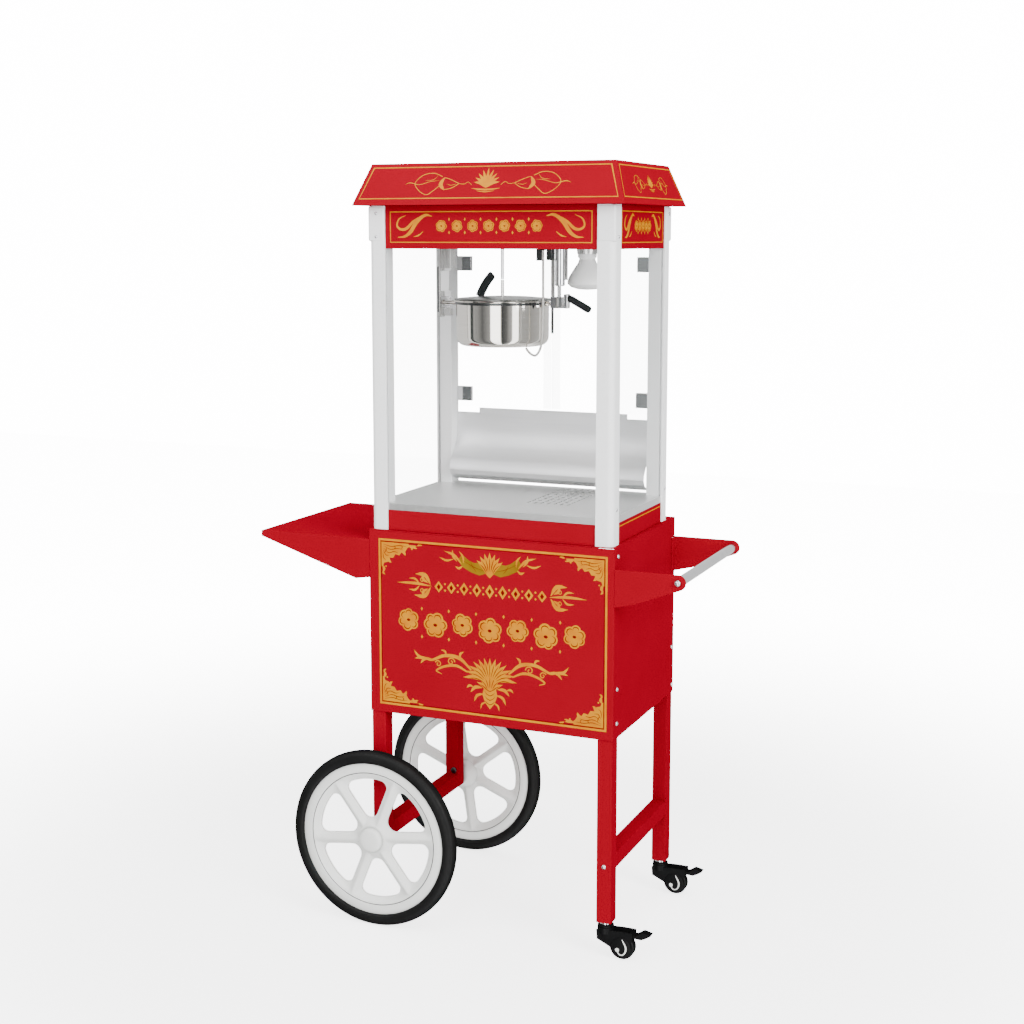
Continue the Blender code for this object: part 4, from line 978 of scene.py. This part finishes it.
def make_wheel(name, side, turn):
    """A cast wheel: six ribbed spokes, a flat rim past a fine groove, and a stepped hub with a cap."""
    centre = at(AXLE_X, side * WHEEL_Y, AXLE_Z)
    mesh = bmesh.new()
    rows = [[(x * CASTING_SCALE, y * CASTING_SCALE, h) for x, y, h in row] for row in wheel_sector()]
    count = len(rows[0])
    for spoke in range(SPOKES):
        angle = math.radians(SECTOR * (spoke + 0.5) + turn)
        c, s = math.cos(angle), math.sin(angle)
        faces = {}
        for face in (1, -1):
            faces[face] = [
                [mesh.verts.new(centre + Vector((x * c - y * s, face * h, x * s + y * c))) for x, y, h in row]
                for row in rows
            ]
            for a, b in zip(faces[face], faces[face][1:]):
                for i in range(count):
                    j = (i + 1) % count
                    mesh.faces.new((a[i], a[j], b[j], b[i]))
        for i in range(count):
            j = (i + 1) % count
            mesh.faces.new((faces[1][0][i], faces[1][0][j], faces[-1][0][j], faces[-1][0][i]))
        for i in range(SECTOR_STEPS):
            mesh.faces.new((faces[1][-1][i], faces[1][-1][i + 1], faces[-1][-1][i + 1], faces[-1][-1][i]))
    bmesh.ops.remove_doubles(mesh, verts=mesh.verts, dist=2e-5)
    rim = [(0.129, -0.0062), (0.1345, -0.0062), (0.1345, -0.0102), (0.1352, -0.011), (0.1518, -0.011),
           (0.1534, -0.0096), (0.1534, 0.0096), (0.1518, 0.011), (0.1352, 0.011), (0.1345, 0.0102),
           (0.1345, 0.0062), (0.129, 0.0062)]
    turned([(r * CASTING_SCALE, h) for r, h in rim], centre, (0, 1, 0), 96, mesh)
    hub = [(0.0062, -0.0312), (0.015, -0.0312), (0.02, -0.029), (0.029, -0.015), (0.033, -0.009),
           (0.033, 0.008), (0.031, 0.0112), (0.029, 0.012), (0.0062, 0.012)]
    turned([(r, side * h) for r, h in hub], centre, (0, 1, 0), 64, mesh)
    build(f"wheel_{name}_finish", mesh, WHEEL, f"{name}_wheel", 42, replaces=[f"wheel_{name}"])
    cap = [(0, 0.0229), (0.012, 0.0227), (0.019, 0.0222), (0.0222, 0.021), (0.0238, 0.0188), (0.0244, 0.016),
           (0.025, 0.0116), (0, 0.0116)]
    cap_mesh = turned([(r, side * h) for r, h in cap], centre, (0, 1, 0), 64)
    build(f"hub_cap_{name}", cap_mesh, WHEEL, f"{name}_wheel", 42, slot="wheel_plastic")
    tyre = [(0.1578, -0.0118), (0.1594, -0.0136), (0.1624, -0.0147), (0.1668, -0.015), (0.1715, -0.0146),
            (0.176, -0.0132), (0.1794, -0.0106), (0.1812, -0.007), (0.182, -0.003)]
    tyre += [(r, -h) for r, h in reversed(tyre)]
    build(f"tyre_{name}_finish", turned(tyre, centre, (0, 1, 0), 128), RUBBER, f"{name}_wheel", 60,
          replaces=[f"tyre_{name}"])


# ---------------------------------------------------------------- kettle, lamp and lead

KX, KY, RIM, PIVOT = -0.043, MACHINE_Y, 1.265, 1.2575
LEAD_ROUTE = [
    (0.064, -0.064, 1.3715), (0.064, -0.064, 1.33), (0.0642, -0.064, 1.28), (0.064, -0.064, 1.23),
    (0.0625, -0.0635, 1.195), (0.0575, -0.062, 1.172), (0.048, -0.0595, 1.159), (0.0385, -0.057, 1.159),
    (0.029, -0.054, 1.165), (0.023, -0.052, 1.1715),
]
LEAD_DIAMETER = 0.005


def half_ring(profile, side):
    """Half of a turned solid, on one side of the kettle's middle, with its cut faces closed."""
    mesh = turned(profile, at(KX, KY, 0), (0, 0, 1), 96)
    geometry = list(mesh.verts) + list(mesh.edges) + list(mesh.faces)
    place = at(KX, KY + side * 0.0006, 0)
    bmesh.ops.bisect_plane(mesh, geom=geometry, plane_co=place, plane_no=(0, -side, 0), clear_outer=True)
    bmesh.ops.holes_fill(mesh, edges=[e for e in mesh.edges if e.is_boundary])
    return mesh


def make_kettle():
    centre = at(KX, KY, 0)
    radius, bottom, corner, wall = 0.0933, 1.1735, 0.018, 0.0015
    bend = [math.radians(-90 * i / 10) for i in range(11)]
    outer = [(radius - corner + corner * math.cos(a), bottom + corner + corner * math.sin(a)) for a in bend]
    inner = [(r - wall * 0.7, z + wall * 0.7) for r, z in reversed(outer)]
    profile = [(0, bottom + wall), *inner, (radius - wall, 1.2622), (radius, 1.265), (0.0985, 1.265)]
    profile += [(0.1004, 1.2645), (0.101, 1.2635), (0.1004, 1.2624), (0.0985, 1.262), (radius + 0.0006, 1.2612)]
    profile += [*outer, (0, bottom)]
    pot = turned(profile, centre, (0, 0, 1), 96)
    for low, high in ((-0.1825, KX - radius + 0.001), (KX + radius - 0.001, 0.0912)):
        tube([at(low, KY, PIVOT), at(high, KY, PIVOT)], 0.004, 20, pot)
    build("kettle_pot_finish", pot, POT_STEEL, "kettle", 40, replaces=["kettle_pot"])
    # A dark seat under the rolled rim, where the pot's outer jacket ends.
    jacket = [(radius - 0.0004, 1.256), (radius + 0.001, 1.2562), (radius + 0.0016, 1.2575),
              (radius + 0.0016, 1.2608), (radius - 0.0004, 1.2612)]
    seat = turned(jacket, centre, (0, 0, 1), 96)
    build("kettle_rim_seat", seat, DARK_STEEL, "kettle", 50, slot="stainless_steel")
    lid = [(0.006, RIM + 0.0058), (0.03, RIM + 0.0054), (0.06, RIM + 0.004), (0.088, RIM + 0.0014),
           (0.089, RIM + 0.0005), (0.0962, RIM + 0.0005), (0.097, RIM + 0.001), (0.097, RIM + 0.0017),
           (0.096, RIM + 0.0024), (0.088, RIM + 0.0034), (0.06, RIM + 0.0058), (0.03, RIM + 0.0072),
           (0.006, RIM + 0.0076)]
    build("kettle_lid_front_finish", half_ring(lid, -1), LID_STEEL, "kettle", 30, replaces=["kettle_lid_front"])
    build("kettle_lid_flap_finish", half_ring(lid, 1), LID_STEEL, "lid_flap", 30, replaces=["kettle_lid_flap"])
    # The flap's black handle: a flat bar that leans back from a foot, with rounded ends.
    x, z = KX - 0.0655, RIM + 0.004
    route = spread([at(x - 0.003, 0.023, z), at(x + 0.003, 0.023, z + 0.013), at(x + 0.012, 0.023, z + 0.028),
                    at(x + 0.0235, 0.023, z + 0.0425), at(x + 0.0268, 0.023, z + 0.0458)], 6)
    sections = []
    for i, point in enumerate(route):
        along = (route[min(i + 1, len(route) - 1)] - route[max(i - 1, 0)]).normalized()
        flat = Vector((along.z, 0, -along.x))
        share = i / (len(route) - 1)
        half = blend_of([0.0092, 0.0091, 0.009, 0.0089, 0.0086, 0.006], share)
        thick = blend_of([0.0028, 0.003, 0.003, 0.003, 0.0028, 0.0018], share)
        sections.append([
            point + flat * (half * math.copysign(abs(math.cos(a)) ** 0.6, math.cos(a)))
            + Vector((0, thick * math.copysign(abs(math.sin(a)) ** 0.6, math.sin(a)), 0))
            for a in (math.tau * k / 20 for k in range(20))
        ])
    build("lid_handle", loft(bmesh.new(), sections), BLACK, "lid_flap", 50, slot="black_plastic")
    bolts("lid_handle_screws", [(x + 0.0005, 0.023, z + 0.002)], (0, 0, 1), 0.0024, "lid_flap")


def make_tilt_handle():
    """The chrome hub outside the bearing and the black grip with its bright end."""
    hub = block((0.0915, KY - 0.008, 1.2495), (0.1, KY + 0.008, 1.278), 0.0016, 3)
    build("tilt_handle_finish", hub, CHROME, "kettle", 50, replaces=["tilt_handle"], weighted=True)
    start = at(0.0965, KY - 0.0005, PIVOT + 0.015)
    end = start + Vector((0.053, -0.014, -0.025))
    shares = [0.0, 0.06, 0.12, 0.2, 0.5, 0.86, 0.95, 0.985, 1.0]
    radii = [0.0052, 0.0052, 0.0066, 0.0072, 0.007, 0.0072, 0.007, 0.006, 0.004]
    grip = tube([start.lerp(end, s) for s in shares], radii, 24)
    build("tilt_grip", grip, BLACK, "kettle", 50, slot="black_plastic")
    collar = tube([start.lerp(end, s) for s in (0.02, 0.1)], 0.0064, 24)
    build("tilt_grip_collar", collar, CHROME, "kettle", 50, slot="chrome")


def make_lead():
    """The braided lead from the ceiling to the kettle's element."""
    route = spread([at(*point) for point in LEAD_ROUTE], 12)
    radii = [LEAD_DIAMETER / 2 * (1.0 if i % 2 else 0.985) for i in range(len(route))]
    mesh = tube(route, radii, 16)
    bmesh.ops.recalc_face_normals(mesh, faces=mesh.faces)
    data = bpy.data.meshes.new("kettle_lead_finish")
    mesh.to_mesh(data)
    mesh.free()
    data.materials.append(BRAID)
    data.shade_smooth()
    lead = bpy.data.objects.new("kettle_lead_finish", data)
    bpy.context.scene.collection.objects.link(lead)
    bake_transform(lead)
    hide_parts("kettle_lead")


def make_ceiling_fittings():
    """What hangs from the ceiling beside the kettle: hanger hardware, guards, lamp collar and lead bush."""
    steel, plastic = "stainless_steel", "black_plastic"
    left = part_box("hanger_left")[0].x - CART_X
    for name, (x0, x1), (y0, y1), (z0, z1), bevel, finish, slot in (
        ("hanger_left_boss", (-0.183, -0.18), (-0.009, 0.009), (PIVOT - 0.008, PIVOT + 0.013), 0.001,
         CHROME, "chrome"),
        ("hanger_left_plate", (left + 0.0032, left + 0.027), (-0.012, 0.012), (1.327, 1.368), 0.001,
         STEEL_Z, steel),
        ("hanger_left_edge", (left - 0.0042, left - 0.0002), (-0.01, 0.002), (1.238, 1.33), 0.001,
         DARK_STEEL, steel),
        ("hanger_left_sleeve", (left + 0.0032, left + 0.022), (-0.009, 0.009), (1.281, 1.322), 0.001,
         WHITE, steel),
        ("hanger_left_clamp_top", (left + 0.0032, left + 0.024), (-0.009, 0.009), (1.263, 1.27), 0.001,
         CHROME, steel),
        ("hanger_left_clamp_low", (left + 0.0032, left + 0.024), (-0.009, 0.009), (1.247, 1.252), 0.001,
         CHROME, steel),
        ("hanger_left_foot", (left + 0.0032, left + 0.024), (-0.008, 0.008), (1.231, 1.2455), 0.001,
         STEEL_Z, steel),
        ("hanger_right_stay", (0.059, 0.067), (0.006, 0.008), (1.266, 1.3716), 0.0006, STEEL_Z, steel),
        ("hanger_right_tail", (0.0596, 0.065), (0.0058, 0.0082), (1.199, 1.267), 0.0006, DARK_STEEL, steel),
        ("hanger_right_guard", (0.07, 0.091), (0.015, 0.0175), (1.305, 1.3716), 0.0006, STEEL_Z, steel),
        ("heat_cut_out", (0.035, 0.049), (-0.013, -0.005), (1.343, 1.3716), 0.0012, DARK_STEEL, plastic),
        ("lead_terminal", (0.0565, 0.068), (-0.013, -0.005), (1.344, 1.3716), 0.0012, DARK_STEEL, plastic),
    ):
        mesh = block((x0, KY + y0, z0), (x1, KY + y1, z1), bevel)
        build(name, mesh, finish, "cart", 50, slot=slot, weighted=True)
    bolts("hanger_left_pin_head", [(-0.1831, KY, PIVOT)], (-1, 0, 0), 0.006, "kettle", BOLT, PAN)
    bush = [(0.0026, 1.364), (0.0055, 1.364), (0.006, 1.365), (0.006, 1.3717), (0.0026, 1.3717)]
    build("lead_bush", turned(bush, at(0.064, -0.064, 0), (0, 0, 1), 32), BLACK, "cart", 50, slot=plastic)
    collar = [(0.0, 1.3717), (0.021, 1.3717), (0.0215, 1.369), (0.0205, 1.356), (0.0, 1.356)]
    build("lamp_holder", turned(collar, at(0.113, 0.05, 0), (0, 0, 1), 48), STEEL_Z, "cart", 50, slot=steel)
    places = [(-0.15, 0.06, 1.3717), (0.17, -0.11, 1.3717), (-0.17, -0.12, 1.3717)]
    bolts("ceiling_screws", places, (0, 0, -1), 0.0036)


def make_door_strips():
    """A thin pale see-through strip down the free edge of each back door, on its inner face: a painted
    reflection, the bright band down the glass, which lightens what lies behind it.
    """
    width, margin = 0.018, 0.002
    for side, inward in (("left", -1), ("right", 1)):
        low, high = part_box(f"door_{side}")
        edge = high.x if side == "left" else low.x
        x0, x1 = sorted((edge - CART_X, edge - CART_X + inward * width))
        strip = block((x0, low.y - 0.0006, low.z + margin), (x1, low.y - 0.0001, high.z - margin))
        build(f"door_reflection_strip_{side}", strip, REFLECTION_STRIP, BODY_OF[f"door_{side}"], slot="clear_glass")


# ---------------------------------------------------------------- sleeves, castors, bolts and switches


def make_post_sleeves():
    """Each post ends in a wider sleeve under the eave."""
    mesh = None
    for sx in (-1, 1):
        for y0, y1 in ((-0.1852, -0.149), (0.115, 0.1512)):
            x0, x1 = sorted((sx * 0.22, sx * 0.2562))
            mesh = block((x0, y0, 1.381), (x1, y1, 1.4494), 0.004, 3, mesh)
    build("post_sleeves", mesh, WHITE, "cart", 50, slot="white_post", weighted=True)


# Path and radii of the pale curl that paints a highlight on each castor's black cover.
HIGHLIGHT_CURL = [(-0.006, -0.0062), (-0.004, -0.011), (0.0005, -0.0134), (0.006, -0.0116), (0.01, -0.0055),
        (0.011, 0.002), (0.0082, 0.0095), (0.0048, 0.015), (0.0032, 0.0186)]
HIGHLIGHT_CURL_RADII = [0.0012, 0.0012, 0.0013, 0.0014, 0.0017, 0.0018, 0.0015, 0.001, 0.0004]
CASTOR_COLLAR = [(0, 0.0602), (0.0152, 0.0602), (0.016, 0.061), (0.016, 0.063), (0.0128, 0.064), (0, 0.064)]
CASTOR_RING = [(0, 0.0641), (0.0122, 0.0641), (0.0128, 0.0648), (0.0128, 0.0698), (0, 0.0698)]
CASTOR_COVER = [(0, 0.0134), (0.0205, 0.0134), (0.021, 0.0138), (0.0206, 0.0144), (0.018, 0.0148), (0, 0.0149)]


def make_castor_trim():
    """On each castor: a plated ring under the leg, and a round cover over each cheek with a pale curl on it, a
    painted highlight.
    """
    for name, sign in (("front", -1), ("back", 1)):
        y, stem, body = sign * 0.1707, 0.2432, f"{name}_castor"
        for part, finish, slot, profile in (
            ("collar", BLACK, "black_plastic", CASTOR_COLLAR), ("ring", CHROME, "chrome", CASTOR_RING),
        ):
            mesh = turned(profile, at(stem, y, 0), (0, 0, 1), 48)
            build(f"castor_{part}_{name}", mesh, finish, body, 45, slot=slot)
        centre = at(stem + 0.0353, y, 0.025)
        for face, tag in ((-1, "near"), (1, "far")):
            mesh = turned([(r, face * h) for r, h in CASTOR_COVER], centre, (0, 1, 0), 48)
            build(f"castor_cover_{name}_{tag}", mesh, BLACK, body, 45, slot="black_plastic")
            # Painted highlight: a pale tube in the wheel finish, curled over the black cover.
            curl = spread([centre + Vector((x, face * 0.0149, z)) for x, z in HIGHLIGHT_CURL], 4)
            widths = [blend_of(HIGHLIGHT_CURL_RADII, i / (len(curl) - 1)) for i in range(len(curl))]
            mesh = tube(curl, widths, 10)
            tube([curl[0] + Vector((-0.0005, 0, 0.0022)), curl[0] + Vector((-0.0005, face * 0.0008, 0.0022))],
                 0.004, 24, mesh)
            build(f"castor_highlight_curl_{name}_{tag}", mesh, WHEEL, body, 50, slot="wheel_plastic")


def make_cabinet_seams():
    """A return behind each panel of the cabinet. It closes the thin gap under the cabinet's lid."""
    mesh = block((-0.2275, -0.1858, 0.805), (0.2275, -0.1846, 0.8094))
    for x0, x1 in ((0.257, 0.2583), (-0.2583, -0.257)):
        block((x0, -0.154, 0.805), (x1, 0.154, 0.8094), mesh=mesh)
    build("cabinet_seams", mesh, RED, "cart", slot="red_enamel")


def make_bolts():
    x, front, back, right = 0.26, (0, -1, 0), (0, 1, 0), (1, 0, 0)
    places = [(x, -0.1655, 0.7915), (x, -0.166, 0.5335), (x, -0.166, 0.4663), (x, 0.173, 0.766),
              (x, 0.1765, 0.535), (x, 0.179, 0.453), (x, 0.156, 0.683)]
    # The left panel has no bolt like the last one.
    mirrored = [(-a, b, c) for a, b, c in places[:-1]]
    for name, heads, axis, radius in (
        ("right_panel_bolts", places, right, 0.0042),
        ("left_panel_bolts", mirrored, (-1, 0, 0), 0.0042),
        ("leg_brace_bolts", [(0.2432, -0.1857, 0.184)], front, 0.0048),
        ("leg_brace_bolts_back", [(0.2432, 0.1857, 0.184)], back, 0.0048),
        ("handle_end_bolts", [(0.385, -0.1905, 0.7555)], front, 0.0062),
        ("handle_end_bolts_back", [(0.385, 0.1905, 0.7555)], back, 0.0062),
        ("sleeve_screws_front", [(-0.238, -0.1852, 1.435), (-0.238, -0.1852, 1.39)], front, 0.0034),
        ("sleeve_screws_right", [(0.2562, -0.167, 1.39), (0.2562, 0.133, 1.435)], right, 0.0034),
        ("post_screws_right", [(0.255, -0.164, 0.88), (0.255, 0.13, 0.88)], right, 0.0036),
        ("post_screws_back", [(-0.238, 0.15, 0.88), (0.238, 0.15, 0.88)], back, 0.0036),
    ):
        bolts(name, heads, axis, radius)
    bolts("axle_beam_bolt", [(AXLE_X, 0.1557, 0.205)], front, 0.007, material=DARK_STEEL, profile=PAN)


def make_switch_marks():
    """A short line on each rocker, the usual mark for on."""
    for name in ("light", "motor", "heat"):
        low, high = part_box(f"switch_{name}")
        centre = (low + high) / 2
        place = (centre.x, high.y, centre.z)
        sheet = Print(f"switch_{name}_mark", place, (-1, 0, 0), (0, 0, 1), f"{name}_switch")
        sheet.stroke([(0, 0.003), (0, 0.005), (0, 0.007)], [0.001] * 3)
        sheet.finish()


# ---------------------------------------------------------------- the whole object

OWN_SHAPE = {
    "wheel_front", "wheel_back", "tyre_front", "tyre_back", "kettle_pot", "kettle_lid_front", "kettle_lid_flap",
    "tilt_handle", "kettle_lead",
}
BEVELS = {"side_shelf": 0.0012, "roof": 0.0012, "machine_base": 0.0008, "hanger_right": 0.0008,
          "castor_fork_front": 0.001, "castor_fork_back": 0.001}

make_lead()
for node_name in sorted(set(NODES) - OWN_SHAPE):
    refined(node_name, BEVELS.get(node_name, 0.0005), flat=node_name == "cabinet_top")
make_wheel("front", -1, 8)
make_wheel("back", 1, 38)
make_kettle()
make_tilt_handle()
make_ceiling_fittings()
make_door_strips()
make_post_sleeves()
make_castor_trim()
make_cabinet_seams()
make_bolts()
make_switch_marks()
decorate()
